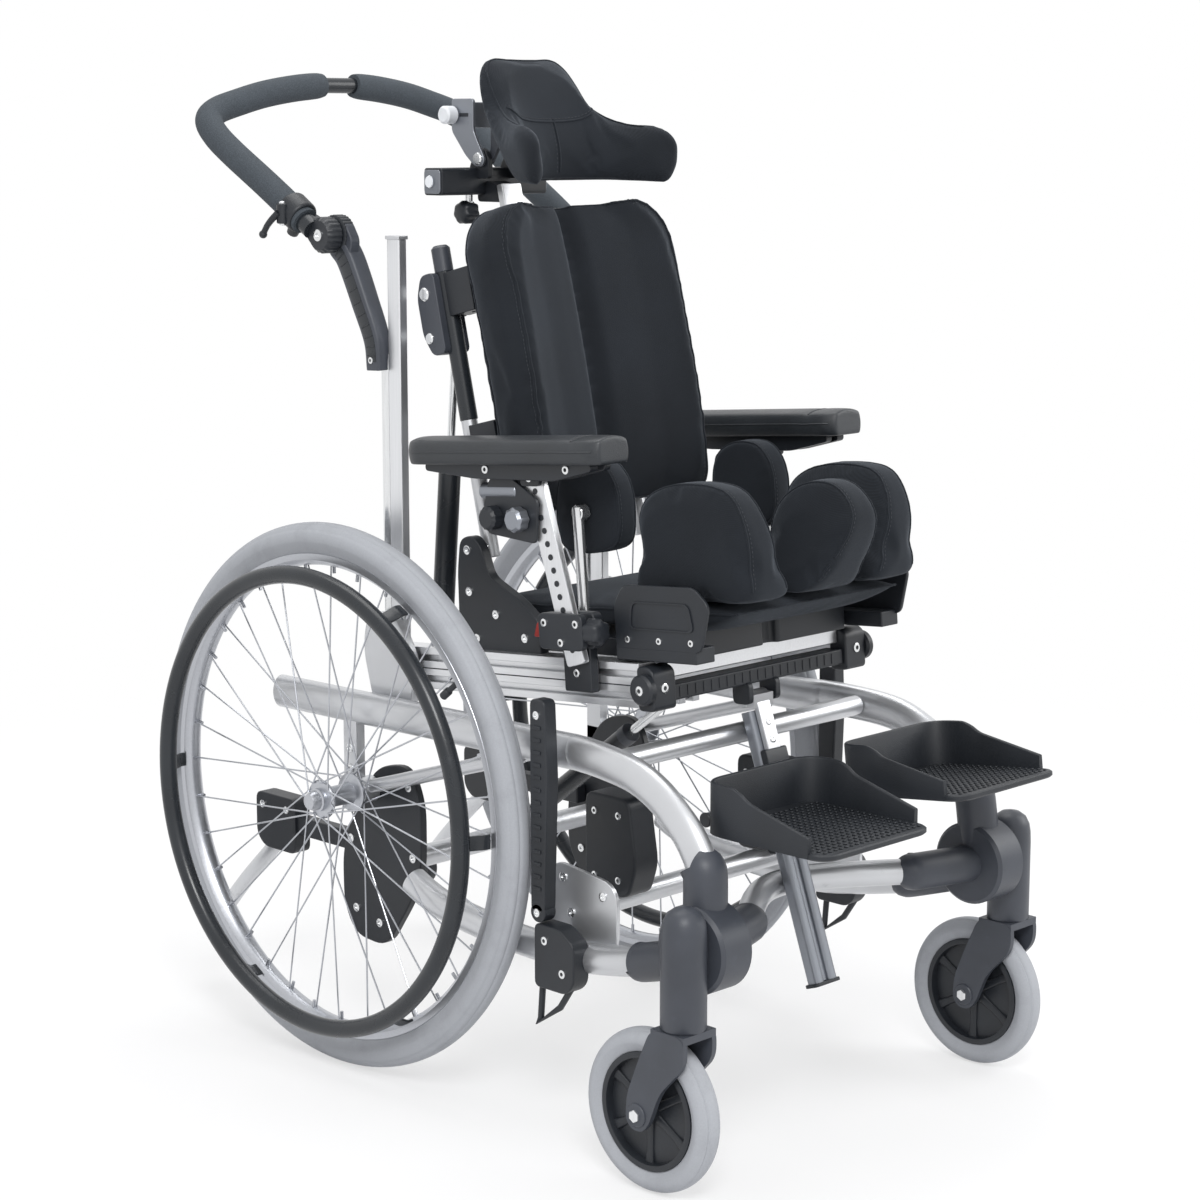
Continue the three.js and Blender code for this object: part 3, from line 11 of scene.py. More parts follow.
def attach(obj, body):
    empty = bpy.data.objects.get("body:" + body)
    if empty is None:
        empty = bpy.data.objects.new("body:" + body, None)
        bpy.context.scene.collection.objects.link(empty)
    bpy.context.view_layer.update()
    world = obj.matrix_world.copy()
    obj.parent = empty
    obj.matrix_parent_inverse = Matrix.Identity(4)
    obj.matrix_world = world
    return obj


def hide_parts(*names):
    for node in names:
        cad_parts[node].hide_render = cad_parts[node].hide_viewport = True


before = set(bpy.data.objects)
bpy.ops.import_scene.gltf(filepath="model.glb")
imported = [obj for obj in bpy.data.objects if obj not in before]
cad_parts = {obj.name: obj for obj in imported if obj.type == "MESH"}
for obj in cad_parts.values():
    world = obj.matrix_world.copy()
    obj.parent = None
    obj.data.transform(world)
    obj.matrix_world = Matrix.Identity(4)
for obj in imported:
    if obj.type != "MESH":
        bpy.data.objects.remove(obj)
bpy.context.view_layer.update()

# Places: the row frame, the pitched seat frame and the leaning back frame
layout = {"axleBehindMiddle": 163.5, "tiltY": -25, "tiltZ": 430, "pitch": 4.8, "backY": -125, "backZ": 585,
          "lean": 13.5}
sides = (("l", 1), ("r", -1))


def rowPlace(p):
    return Vector((p[0], p[1] + layout["axleBehindMiddle"], p[2])) / 1000


def tippedPlace(originY, originZ, degrees):
    cosT, sinT = math.cos(math.radians(degrees)), math.sin(math.radians(degrees))

    def place(p):
        return rowPlace((p[0], originY + p[1] * cosT + p[2] * sinT, originZ - p[1] * sinT + p[2] * cosT))
    return place


seatPlace = tippedPlace(layout["tiltY"], layout["tiltZ"], layout["pitch"])
backPlace = tippedPlace(layout["backY"], layout["backZ"], layout["lean"])


def linked(name, data):
    obj = bpy.data.objects.new(name, data)
    bpy.context.collection.objects.link(obj)
    return obj


# Camera, floor and light
shot = {"at": (-2081.6, -2244.4, 1035.9), "turn": -45.18, "height": 10.02, "lens": 80.5, "floorSize": 60,
        "background": (1, 1, 1, 1), "keyPower": 130, "fillPower": 70, "topPower": 60, "worldStrength": 0.75,
        "whiteFrom": 0.6, "whiteTo": 2.0, "whiteNear": 0.6, "aim": (0, -150, 500),
        "dull": (0.82, 0.82, 0.83, 1), "pale": (0.86, 0.86, 0.87, 1)}
# each lamp: name, place, power and size
lamps = (("keyLight", (-2600, -3000, 3600), shot["keyPower"], 1.6),
         ("fillLight", (3200, -2400, 2400), shot["fillPower"], 2.4),
         ("topLight", (300, 900, 4200), shot["topPower"], 2.6))


def makeCamera():
    data = bpy.data.cameras.new("photoCamera")
    camera = linked("photoCamera", data)
    camera.location = rowPlace(shot["at"])
    camera.rotation_euler = (math.radians(90 - shot["height"]), 0, math.radians(shot["turn"]))
    data.lens, data.sensor_width = shot["lens"], 36
    data.clip_end = 200
    bpy.context.scene.camera = camera


makeCamera()
bpy.context.scene.view_settings.view_transform = "Standard"


# Node trees: a wrapped socket adds Math nodes as its sums are written
class Wire:
    def __init__(self, maker, socket):
        self.maker, self.socket = maker, socket

    def __add__(self, other):
        return self.maker.maths("ADD", self, other)

    def __radd__(self, other):
        return self.maker.maths("ADD", other, self)

    def __sub__(self, other):
        return self.maker.maths("SUBTRACT", self, other)

    def __mul__(self, other):
        return self.maker.maths("MULTIPLY", self, other)

    def __truediv__(self, other):
        return self.maker.maths("DIVIDE", self, other)

    def __mod__(self, other):
        return self.maker.maths("MODULO", self, other)


class Nodes:
    def node(self, kind, settings=None, inputs=None, out=0):
        made = self.tree.nodes.new(kind)
        for key, value in (settings or {}).items():
            setattr(made, key, value)
        for key, value in (inputs or {}).items():
            if isinstance(value, Wire):
                self.tree.links.new(value.socket, made.inputs[key])
            else:
                made.inputs[key].default_value = value
        return Wire(self, made.outputs[out]) if made.outputs else None

    def maths(self, how, a, b=0):
        return self.node("ShaderNodeMath", {"operation": how}, {0: a, 1: b})

    def beside(self, wire, out):  # another output of a node already made
        return Wire(self, wire.socket.node.outputs[out])


class Finish(Nodes):  # the nodes of one material, or of the world
    def __init__(self, name, owner=None):
        self.material = owner or bpy.data.materials.new(name)
        self.material.use_nodes = True
        self.tree = self.material.node_tree
        self.tree.nodes.clear()
        self.places = self.node("ShaderNodeTexCoord", out="Object")

    def noise(self, scale, detail=3, stretch=(1, 1, 1), roughness=0.5):
        spot = self.node("ShaderNodeMapping", {}, {"Vector": self.places, "Scale": stretch})
        return self.node("ShaderNodeTexNoise", {}, {"Vector": spot, "Scale": scale, "Detail": detail,
                                                     "Roughness": roughness})

    def cells(self, scale, feature="F1"):
        return self.node("ShaderNodeTexVoronoi", {"feature": feature}, {"Vector": self.places, "Scale": scale})

    def ramp(self, value, low, high):
        return self.node("ShaderNodeMapRange", {}, {"Value": value, "From Min": low, "From Max": high})

    def mix(self, share, first, second):
        return self.node("ShaderNodeMix", {"data_type": "RGBA"}, {0: share, 6: first, 7: second}, out=2)

    def bump(self, height, strength, distance):
        return self.node("ShaderNodeBump", {}, {"Height": height, "Strength": strength, "Distance": distance})

    def seen(self):  # 1 for the camera and in reflections, 0 for light that bounces
        return self.maths("MAXIMUM", *[self.node("ShaderNodeLightPath", out=ray)
                                       for ray in ("Is Camera Ray", "Is Glossy Ray")])

    def done(self, **sockets):
        inputs = {key.replace("_", " "): value for key, value in sockets.items()}
        shader = self.node("ShaderNodeBsdfPrincipled", {}, inputs)
        self.node("ShaderNodeOutputMaterial", {}, {"Surface": shader})
        return self.material


class Grower(Nodes):  # one Geometry Nodes tree and its named inputs
    def __init__(self, name, **wanted):
        self.tree = bpy.data.node_groups.new(name, "GeometryNodeTree")
        for side in ("INPUT", "OUTPUT"):
            self.tree.interface.new_socket("Geometry", in_out=side, socket_type="NodeSocketGeometry")
        self.tree.interface.new_socket("Material", in_out="INPUT", socket_type="NodeSocketMaterial")
        for label, value in wanted.items():
            kind = "NodeSocketInt" if isinstance(value, int) else "NodeSocketFloat"
            self.tree.interface.new_socket(label.replace("_", " "), in_out="INPUT",
                                           socket_type=kind).default_value = value
        self.entry = {socket.name: Wire(self, socket) for socket in self.tree.nodes.new("NodeGroupInput").outputs}

    def planted(self, points, thing, **more):
        return self.node("GeometryNodeInstanceOnPoints", {}, {"Points": points, "Instance": thing, **more})

    def facing(self, way):
        return self.node("FunctionNodeAlignRotationToVector", {"axis": "Z"}, {"Vector": way})

    def done(self, geometry):
        real = self.node("GeometryNodeRealizeInstances", {}, {"Geometry": geometry})
        ended = self.node("GeometryNodeSetMaterial", {}, {"Geometry": real, "Material": self.entry["Material"]})
        self.node("NodeGroupOutput", {}, {0: ended})
        return self.tree


def rgb(r, g, b):
    return (r, g, b, 1)


# Finishes of the chair
tones = {"silver": (0.60, 0.61, 0.63), "bright": (0.78, 0.79, 0.81), "casting": (0.044, 0.049, 0.061),
         "plastic": (0.0135, 0.016, 0.0205), "tyre": (0.345, 0.358, 0.385), "rim": (0.5, 0.515, 0.55),
         "ring": (0.016, 0.019, 0.023), "fabric": (0.0076, 0.0095, 0.0128), "vinyl": (0.019, 0.022, 0.026),
         "foam": (0.048, 0.057, 0.067), "post": (0.25, 0.265, 0.295), "chrome": (0.8, 0.81, 0.82),
         "red": (0.28, 0.02, 0.015), "thread": (0.035, 0.04, 0.047), "white": (0.72, 0.74, 0.77)}


def shade(tone, factor):
    return rgb(*[min(1, factor * v) for v in tones[tone]])


def metalPaint(name, tone, metallic, roughness):
    f = Finish(name)
    broad = f.noise(9, 4)
    fine = f.noise(900, 2)
    colour = f.mix(f.ramp(broad, 0.3, 0.7), shade(tone, 0.93), shade(tone, 1.05))
    wear = f.ramp(f.noise(38, 6, roughness=0.65), 0.66, 0.74)
    colour = f.mix(wear * 0.35, colour, shade(tone, 0.7))
    return f.done(Base_Color=colour, Metallic=metallic, Roughness=roughness + (fine - 0.5) * 0.12 + wear * 0.15,
                  Normal=f.bump(fine, 0.08, 0.0002), Coat_Weight=0.15, Coat_Roughness=0.2)


def brushedMetal(name, tone, roughness, stretch):
    f = Finish(name)
    lines = f.noise(420, 3, stretch)
    marks = f.ramp(f.noise(26, 5, roughness=0.7), 0.62, 0.8)
    colour = f.mix(lines, shade(tone, 0.86), shade(tone, 1.06))
    return f.done(Base_Color=f.mix(marks * 0.3, colour, shade(tone, 0.7)), Metallic=0.92,
                  Roughness=roughness + lines * 0.14 + marks * 0.1, Normal=f.bump(lines, 0.04, 0.0002))


def mouldedPlastic(name, tone, roughness, grain=1400, depth=0.25):
    f = Finish(name)
    pits = f.cells(grain)
    cloud = f.noise(14, 4)
    rub = f.ramp(f.noise(55, 6, roughness=0.7), 0.6, 0.75)
    colour = f.mix(f.ramp(cloud, 0.3, 0.7), shade(tone, 0.85), shade(tone, 1.2))
    colour = f.mix(rub * 0.3, colour, shade(tone, 1.9))
    return f.done(Base_Color=colour, Roughness=roughness + (cloud - 0.5) * 0.15 + rub * 0.1,
                  Normal=f.bump(pits, depth, 0.0003), Specular_IOR_Level=0.45)


def tyreRubber():
    f = Finish("greyTyreRubber")
    speck = f.noise(600, 3)
    dirt = f.ramp(f.noise(24, 6, roughness=0.7), 0.5, 0.78)
    colour = f.mix(speck, shade("tyre", 0.92), shade("tyre", 1.08))
    colour = f.mix(dirt * 0.4, colour, shade("tyre", 0.68))
    return f.done(Base_Color=colour, Roughness=0.62 + dirt * 0.15, Normal=f.bump(speck, 0.2, 0.0004),
                  Specular_IOR_Level=0.35)


def knitFabric():
    f = Finish("blackKnitFabric")
    spot, across, up = (f.node("ShaderNodeSeparateXYZ", {}, {"Vector": f.places}, out=axis) for axis in range(3))
    pitch = 2 * math.pi / 0.0016
    rows, loops = f.maths("SINE", (up + across * 0.35) * pitch), f.maths("SINE", (spot + across * 0.6) * pitch)
    weave = rows * loops * 0.5 + 0.5
    lint = f.noise(900, 4)
    cloud = f.noise(11, 4)
    colour = f.mix(weave, shade("fabric", 0.6), shade("fabric", 1.5))
    colour = f.mix(f.ramp(cloud, 0.35, 0.75) * 0.45, colour, shade("fabric", 2.1))
    height = weave * 0.6 + lint * 0.6 + cloud * 0.5
    return f.done(Base_Color=colour, Roughness=0.86 + (lint - 0.5) * 0.12, Normal=f.bump(height, 0.4, 0.0006),
                  Sheen_Weight=0.17, Sheen_Roughness=0.45, Sheen_Tint=rgb(0.55, 0.62, 0.72),
                  Specular_IOR_Level=0.25)


def grainedVinyl():
    f = Finish("blackGrainedVinyl")
    cracks = f.ramp(f.cells(520, "DISTANCE_TO_EDGE"), 0, 0.12)
    cloud = f.noise(20, 4)
    colour = f.mix(cracks, shade("vinyl", 0.6), shade("vinyl", 1.15))
    return f.done(Base_Color=f.mix(f.ramp(cloud, 0.4, 0.8) * 0.4, colour, shade("vinyl", 1.9)),
                  Roughness=0.33 + cloud * 0.16, Normal=f.bump(cracks * 0.7 + cloud * 0.3, 0.3, 0.0004),
                  Specular_IOR_Level=0.5)


def cellFoam():
    f = Finish("greyCellFoam")
    cells = f.cells(900)
    cloud = f.noise(40, 5)
    colour = f.mix(f.ramp(cells, 0.1, 0.7), shade("foam", 0.7), shade("foam", 1.25))
    return f.done(Base_Color=f.mix(f.ramp(cloud, 0.5, 0.8) * 0.4, colour, shade("foam", 1.5)),
                  Roughness=0.8 + (cloud - 0.5) * 0.15, Normal=f.bump(cells + cloud * 0.6, 0.35, 0.0006),
                  Specular_IOR_Level=0.3)


# each finish with the slot that it fills
finishes = {
    "silver": (metalPaint("satinSilverFrame", "silver", 0.8, 0.33), "silver_frame"),
    "bright": (brushedMetal("brightAnodisedRail", "bright", 0.24, (1, 0.02, 1)), "bright_rail"),
    "brightUp": (brushedMetal("brightAnodisedUpright", "bright", 0.26, (1, 1, 0.02)), "bright_rail"),
    "rim": (brushedMetal("polishedRim", "rim", 0.24, (0.2, 1, 1)), "rim_metal"),
    "chrome": (brushedMetal("chromedSteel", "chrome", 0.08, (1, 1, 0.1)), "bright_rail"),
    "casting": (mouldedPlastic("darkGreyCasting", "casting", 0.42), "grey_casting"),
    "plastic": (mouldedPlastic("blackGrainedPlastic", "plastic", 0.42), "black_plastic"),
    "ring": (mouldedPlastic("blackRingCoat", "ring", 0.27, 700, 0.08), "coated_ring"),
    "tyre": (tyreRubber(), "grey_tyre"),
    "fabric": (knitFabric(), "black_fabric"),
    "vinyl": (grainedVinyl(), "black_vinyl"),
    "foam": (cellFoam(), "handle_foam"),
    "post": (metalPaint("darkAnodisedPost", "post", 0.75, 0.35), "grey_post"),
    "red": (mouldedPlastic("redPlasticPart", "red", 0.4), "black_plastic"),
    "plate": (mouldedPlastic("blackPlatePlastic", "plastic", 0.5, 1100, 0.35), "plate_plastic"),
    "thread": (mouldedPlastic("darkSewingThread", "thread", 0.7, 3000, 0.4), "black_fabric"),
    "white": (mouldedPlastic("whiteEndCap", "white", 0.45), "bright_rail"),
}
print("finishes made")


def makeStage():
    size = shot["floorSize"]
    mesh = bpy.data.meshes.new("paleFloor")
    mesh.from_pydata([(-size, -size, 0), (size, -size, 0), (size, size, 0), (-size, size, 0)], [], [(0, 1, 2, 3)])
    f = Finish("paleFloorSurface")
    lit = f.node("ShaderNodeBsdfDiffuse", {}, {"Color": f.mix(f.noise(0.6, 2), shot["dull"], shot["pale"])})
    white = f.node("ShaderNodeEmission", {}, {"Color": shot["background"], "Strength": 1.0})
    away = f.node("ShaderNodeVectorMath", {"operation": "LENGTH"}, {0: f.places}, out="Value")
    share = f.ramp(away, shot["whiteFrom"], shot["whiteTo"]) * (1 - shot["whiteNear"]) + shot["whiteNear"]
    half = f.node("ShaderNodeMixShader", {}, {0: f.seen() * share, 1: lit, 2: white})
    f.node("ShaderNodeOutputMaterial", {}, {"Surface": half})
    mesh.materials.append(f.material)
    linked("paleFloor", mesh)
    world = bpy.context.scene.world = bpy.data.worlds.new("paleRoom")
    f = Finish("", world)
    strength = f.node("ShaderNodeMapRange", {}, {"Value": f.seen(), "To Min": shot["worldStrength"], "To Max": 1})
    back = f.node("ShaderNodeBackground", {}, {"Color": shot["background"], "Strength": strength})
    f.node("ShaderNodeOutputWorld", {}, {"Surface": back})
    for name, at, power, size in lamps:
        lamp = bpy.data.lights.new(name, "AREA")
        lamp.energy, lamp.size = power, size
        thing = linked(name, lamp)
        thing.location = rowPlace(at)
        aim = rowPlace(shot["aim"]) - thing.location
        thing.rotation_mode = "QUATERNION"
        thing.rotation_quaternion = aim.to_track_quat("-Z", "Y")


makeStage()
print("stage set")


# Shapes in millimetres: each returns points and faces
def join(*shapes):
    points, faces = [], []
    for shapePoints, shapeFaces in shapes:
        start = len(points)
        points += [tuple(p) for p in shapePoints]
        faces += [tuple(i + start for i in face) for face in shapeFaces]
    return points, faces


def box(x0, x1, y0, y1, z0, z1):
    xs, ys, zs = sorted((x0, x1)), sorted((y0, y1)), sorted((z0, z1))
    points = [(x, y, z) for z in zs for y in ys for x in xs]
    return points, [(0, 2, 3, 1), (4, 5, 7, 6), (0, 1, 5, 4), (2, 6, 7, 3), (0, 4, 6, 2), (1, 3, 7, 5)]


def sideways(vector, hint):
    side = Vector(hint) - vector * vector.dot(Vector(hint))
    return side.normalized()


def sweep(path, outline, hint=(1, 0, 0), scale=None):  # the outline along a path, closed at both ends
    path = [Vector(p) for p in path]
    points, faces = [], []
    count = len(outline)
    for i, p in enumerate(path):
        ahead = (path[min(i + 1, len(path) - 1)] - p).normalized()
        behind = (p - path[max(i - 1, 0)]).normalized()
        way = (ahead + behind).normalized()
        side = sideways(way, hint)
        other = way.cross(side)
        grow = scale[i] if scale else 1
        points += [p + (side * a + other * b) * grow for a, b in outline]
        if i:
            base = (i - 1) * count
            faces += [(base + k, base + (k + 1) % count, base + count + (k + 1) % count, base + count + k)
                      for k in range(count)]
    return points, [*faces, tuple(reversed(range(count))), tuple(range((len(path) - 1) * count, len(path) * count))]


def circle(a, b=None, sides=28):
    b = a if b is None else b
    return [(a * math.cos(2 * math.pi * i / sides), b * math.sin(2 * math.pi * i / sides)) for i in range(sides)]


def smoothPath(route, count=48):
    route = [Vector(p) for p in route]
    padded = [2 * route[0] - route[1], *route, 2 * route[-1] - route[-2]]
    out = []
    spans = len(route) - 1
    each = max(2, count // spans)
    for i in range(spans):
        a, b, c, d = padded[i:i + 4]
        for k in range(each):
            t = k / each
            out.append(0.5 * ((2 * b) + (c - a) * t + (2 * a - 5 * b + 4 * c - d) * t * t
                              + (3 * b - a - 3 * c + d) * t ** 3))
    return [*out, route[-1]]


def tube(route, radius, sides=28, hint=(1, 0, 0), smooth=True, count=48):
    path = smoothPath(route, count) if smooth and len(route) > 2 else route
    return sweep(path, circle(radius, sides=sides), hint)


def rod(start, end, radius, sides=28, endRadius=None, lip=0):
    start, end = Vector(start), Vector(end)
    way = (end - start).normalized()
    hint = (1, 0, 0) if abs(way.x) < 0.9 else (0, 0, 1)
    endRadius = radius if endRadius is None else endRadius
    if not lip:
        return sweep([start, end], circle(1, sides=sides), hint, scale=[radius, endRadius])
    path = [start, start + way * 1e-3, start + way * lip, end - way * lip, end - way * 1e-3, end]
    return sweep(path, circle(1, sides=sides), hint,
                 scale=[radius - lip, radius - lip, radius, endRadius, endRadius - lip, endRadius - lip])


def across(x0, x1, y, z, radius, sides=32, lip=0):
    return rod((x0, y, z), (x1, y, z), radius, sides, lip=lip)


def lathe(profile, x, y, z, turns=96):  # a closed ring of (radius, x) points turned about X
    points, faces = [], []
    count = len(profile)
    for i in range(turns):
        angle = 2 * math.pi * i / turns
        points += [(x + h, y + r * math.sin(angle), z + r * math.cos(angle)) for r, h in profile]
        base, after = i * count, ((i + 1) % turns) * count
        for k in range(count):
            n = (k + 1) % count
            faces.append((base + k, after + k, after + n, base + n))
    return points, faces


def lobed(profile, x, y, z, lobes, depth, turns=96):  # a lathe with bumps round its edge
    points, faces = lathe(profile, 0, 0, 0, turns)
    reach = max(r for r, _ in profile)
    out = []
    for px, py, pz in points:
        r = math.hypot(py, pz)
        swell = 1 + depth * math.cos(lobes * math.atan2(py, pz)) * (r / reach) ** 4
        out.append((x + px, y + py * swell, z + pz * swell))
    return out, faces


def prism(low, high):  # walls between two rings of points, and both ends
    count = len(low)
    faces = [(k, (k + 1) % count, count + (k + 1) % count, count + k) for k in range(count)]
    return [*low, *high], [*faces, tuple(reversed(range(count))), tuple(range(count, 2 * count))]


def plate(outline, x0, x1):
    return prism(*[[(x, y, z) for y, z in outline] for x in sorted((x0, x1))])


def slab(outline, z0, z1):
    return prism(*[[(x, y, z) for x, y in outline] for z in (z0, z1)])


def rounded(corners, radius, steps=5):
    out = []
    count = len(corners)
    for i, corner in enumerate(corners):
        here = Vector(corner)
        before, after = Vector(corners[i - 1]) - here, Vector(corners[(i + 1) % count]) - here
        reach = min(radius, before.length / 2.1, after.length / 2.1)
        start, end = here + before.normalized() * reach, here + after.normalized() * reach
        for k in range(steps + 1):
            t = k / steps
            out.append(tuple(start * (1 - t) ** 2 + here * 2 * t * (1 - t) + end * t * t))
    return out


def bar(halfWide, halfHigh, radius, steps):  # the section of a rounded bar
    return rounded([(-halfWide, -halfHigh), (halfWide, -halfHigh), (halfWide, halfHigh), (-halfWide, halfHigh)],
                   radius, steps)


def mirrorX(route, s):
    return [(s * p[0], p[1], p[2]) for p in route]


def moved(shape, x, y, z):
    return [(p[0] + x, p[1] + y, p[2] + z) for p in shape[0]], shape[1]


def turnedX(shape, degrees):
    turn = Matrix.Rotation(math.radians(degrees), 4, "X")
    return [tuple(turn @ Vector(p)) for p in shape[0]], shape[1]


# Pieces: a mesh object at the origin that rides on a body and stands for CAD nodes
def dress(obj, finish, body, nodes=()):
    material, slot = finishes[finish]
    obj.data.materials.clear()
    obj.data.materials.append(material)
    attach(obj, body)
    if nodes:
        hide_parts(*nodes)
    return obj


def meshObject(name, shape, place):
    mesh = bpy.data.meshes.new(name)
    mesh.from_pydata([place(p) for p in shape[0]], [], shape[1])
    bm = bmesh.new()
    bm.from_mesh(mesh)
    bmesh.ops.remove_doubles(bm, verts=bm.verts, dist=1e-7)
    bmesh.ops.recalc_face_normals(bm, faces=bm.faces)
    bm.to_mesh(mesh)
    bm.free()
    return linked(name, mesh)


def smoothed(mesh):
    mesh.polygons.foreach_set("use_smooth", [True] * len(mesh.polygons))


def piece(name, shape, finish, body, nodes=(), place=rowPlace, bevel=0, sharp=38):
    obj = meshObject(name, shape, place)
    smoothed(obj.data)
    if bevel:
        edge = obj.modifiers.new("softEdge", "BEVEL")
        edge.width, edge.segments, edge.limit_method = bevel / 1000, 3, "ANGLE"
        edge.angle_limit = math.radians(sharp)
        edge.harden_normals = True
        edge.miter_outer = "MITER_ARC"
    obj.data.set_sharp_from_angle(angle=math.radians(sharp))
    return dress(obj, finish, body, nodes)


def grow(name, tree, values, finish, body, base=None, sharp=0, at=None):  # the mesh that a Geometry Nodes tree makes
    holder = linked(name + "Holder", base or bpy.data.meshes.new(name + "Holder"))
    step = holder.modifiers.new("grow", "NODES")
    step.node_group = tree
    values = {**values, "Material": finishes[finish][0]}
    for item in tree.interface.items_tree:
        if item.in_out == "INPUT" and item.name in values:
            step[item.identifier] = values[item.name]
    mesh = bpy.data.meshes.new_from_object(holder.evaluated_get(bpy.context.evaluated_depsgraph_get()))
    bpy.data.objects.remove(holder)
    mesh.name = name
    if at:
        mesh.transform(at)
    smoothed(mesh)
    if sharp:
        mesh.set_sharp_from_angle(angle=math.radians(sharp))
    return dress(linked(name, mesh), finish, body)


def screwTree():  # round heads with a recess, one on each point of the base mesh
    g = Grower("recessedScrewHeads", Head_Radius=0.004, Head_Height=0.0025, Recess=0.5)
    head = g.node("GeometryNodeMeshCylinder", {}, {"Vertices": 20, "Radius": g.entry["Head Radius"],
                                                   "Depth": g.entry["Head Height"]})
    top = g.beside(head, "Top")
    for scale, rise in ((None, 0.0003), (0.86, 0.0), (g.entry["Recess"], -0.0016)):
        if scale is not None:
            head = g.node("GeometryNodeScaleElements", {}, {"Geometry": head, "Selection": top, "Scale": scale})
        head = g.node("GeometryNodeExtrudeMesh", {}, {"Mesh": head, "Selection": top, "Offset Scale": rise})
        top = g.beside(head, "Top")
    way = g.node("GeometryNodeInputNamedAttribute", {"data_type": "FLOAT_VECTOR"}, {"Name": "way"})
    return g.done(g.planted(g.entry["Geometry"], head, Rotation=g.facing(way)))


screwNodes = screwTree()


def screws(name, spots, body, radius=4, height=2.6, place=rowPlace):
    mesh = bpy.data.meshes.new(name + "Spots")
    zero = place((0, 0, 0))
    mesh.from_pydata([place(p) for p, _ in spots], [], [])
    ways = mesh.attributes.new("way", "FLOAT_VECTOR", "POINT")
    for k, (_, way) in enumerate(spots):
        ways.data[k].vector = (place(way) - zero).normalized()
    values = {"Head Radius": radius / 1000, "Head Height": height / 1000, "Recess": 0.55}
    return grow(name, screwNodes, values, "chrome", body, mesh, 30)


class Side:  # one side of the chair: it mirrors x and adds its tag to names, and to a body that ends in _
    def __init__(self, tag, s, body, place):
        self.tag, self.s, self.place = tag, s, place
        self.body = self.tagged(body)

    def tagged(self, name):
        return name + self.tag if name.endswith("_") else name

    def piece(self, name, shape, finish, node="", bevel=0, body="", place=None, **more):
        nodes = [f"{node}_{self.tag}"] if node else ()
        return piece(f"{name}_{self.tag}", shape, finish, self.tagged(body) or self.body, nodes,
                     place or self.place, bevel, **more)

    def plate(self, x0, x1, corners, radius, steps=5):
        return plate(rounded(corners, radius, steps), self.s * x0, self.s * x1)

    def plates(self, shape, *spans):
        outline = rounded(*shape)
        return join(*[plate(outline, self.s * x0, self.s * x1) for x0, x1 in spans])

    def box(self, x0, x1, *rest):
        return box(self.s * x0, self.s * x1, *rest)

    def across(self, x0, x1, *rest, **more):
        return across(self.s * x0, self.s * x1, *rest, **more)

    def rod(self, start, end, *rest, **more):
        return rod(*mirrorX((start, end), self.s), *rest, **more)

    def screws(self, name, rows, radius, height, body="", place=None):  # rows of x, y, z and -1 if facing inwards
        spots = [((self.s * x, y, z), (self.s * (facing[0] if facing else 1), 0, 0)) for x, y, z, *facing in rows]
        screws(f"{name}_{self.tag}", spots, self.tagged(body) or self.body, radius, height, place or self.place)


def bothSides(body, place=rowPlace):
    return [Side(tag, s, body, place) for tag, s in sides]


# Rear wheels
rearWheel = {
    "track": 237, "centre": 305, "outer": 305, "inner": 271, "half": 17.5, "grooves": (0.42, -0.42, 0.78, -0.78),
    "turns": 160, "spokes": 36, "spokeThick": 0.95, "cross": 0.85, "flange": 25, "flangeRadius": 20, "rimOut": 271.5,
    "rimIn": 258.7, "rimHalf": 12, "ringRadius": 252, "ringTube": 9.9, "ringPlane": 281, "tabs": 6,
    "tabBar": (8, 1.6, 1.2, 2), "tabRoute": [(249.4, 0, 262), (256, 0, 262), (263, 0, 258), (273, 0, 253.5)],
    "nipple": (1.9, 8), "valve": (3.2, 12), "valveFoot": (4.6, 14), "valveTurn": 52,
    "hub": [(0.1, -30), (11, -30), (12, -28), (12, -24), (20.5, -23.4), (21.8, -22), (21.8, -20), (20.5, -18.8),
            (13, -17), (11.5, -8), (11.5, 8), (13, 17), (20.5, 18.8), (21.8, 20), (21.8, 22), (20.5, 23.4), (13, 24),
            (13, 29), (11, 30), (11, 34), (8.5, 40), (6.5, 41), (0.1, 41)]}


def arcRow(ry, rz, cy, start, end, steps):
    angles = [math.radians(start + (end - start) * k / steps) for k in range(steps + 1)]
    return [(cy + ry * math.cos(angle), rz * math.sin(angle)) for angle in angles]


def tyreShape(outer, inner, half, x, y, z, turns, grooves):
    deep = outer - inner
    crown = arcRow(deep * 0.53, half, outer - deep * 0.53, -100, 100, 34)
    profile = [(inner, -half * 0.62), *crown, (inner, half * 0.62)]
    for place in grooves:  # moulding lines round the tread
        profile = [(r - 0.9 if abs(h - place * half) < half * 0.05 else r, h) for r, h in profile]
    return lathe(profile, x, y, z, turns)


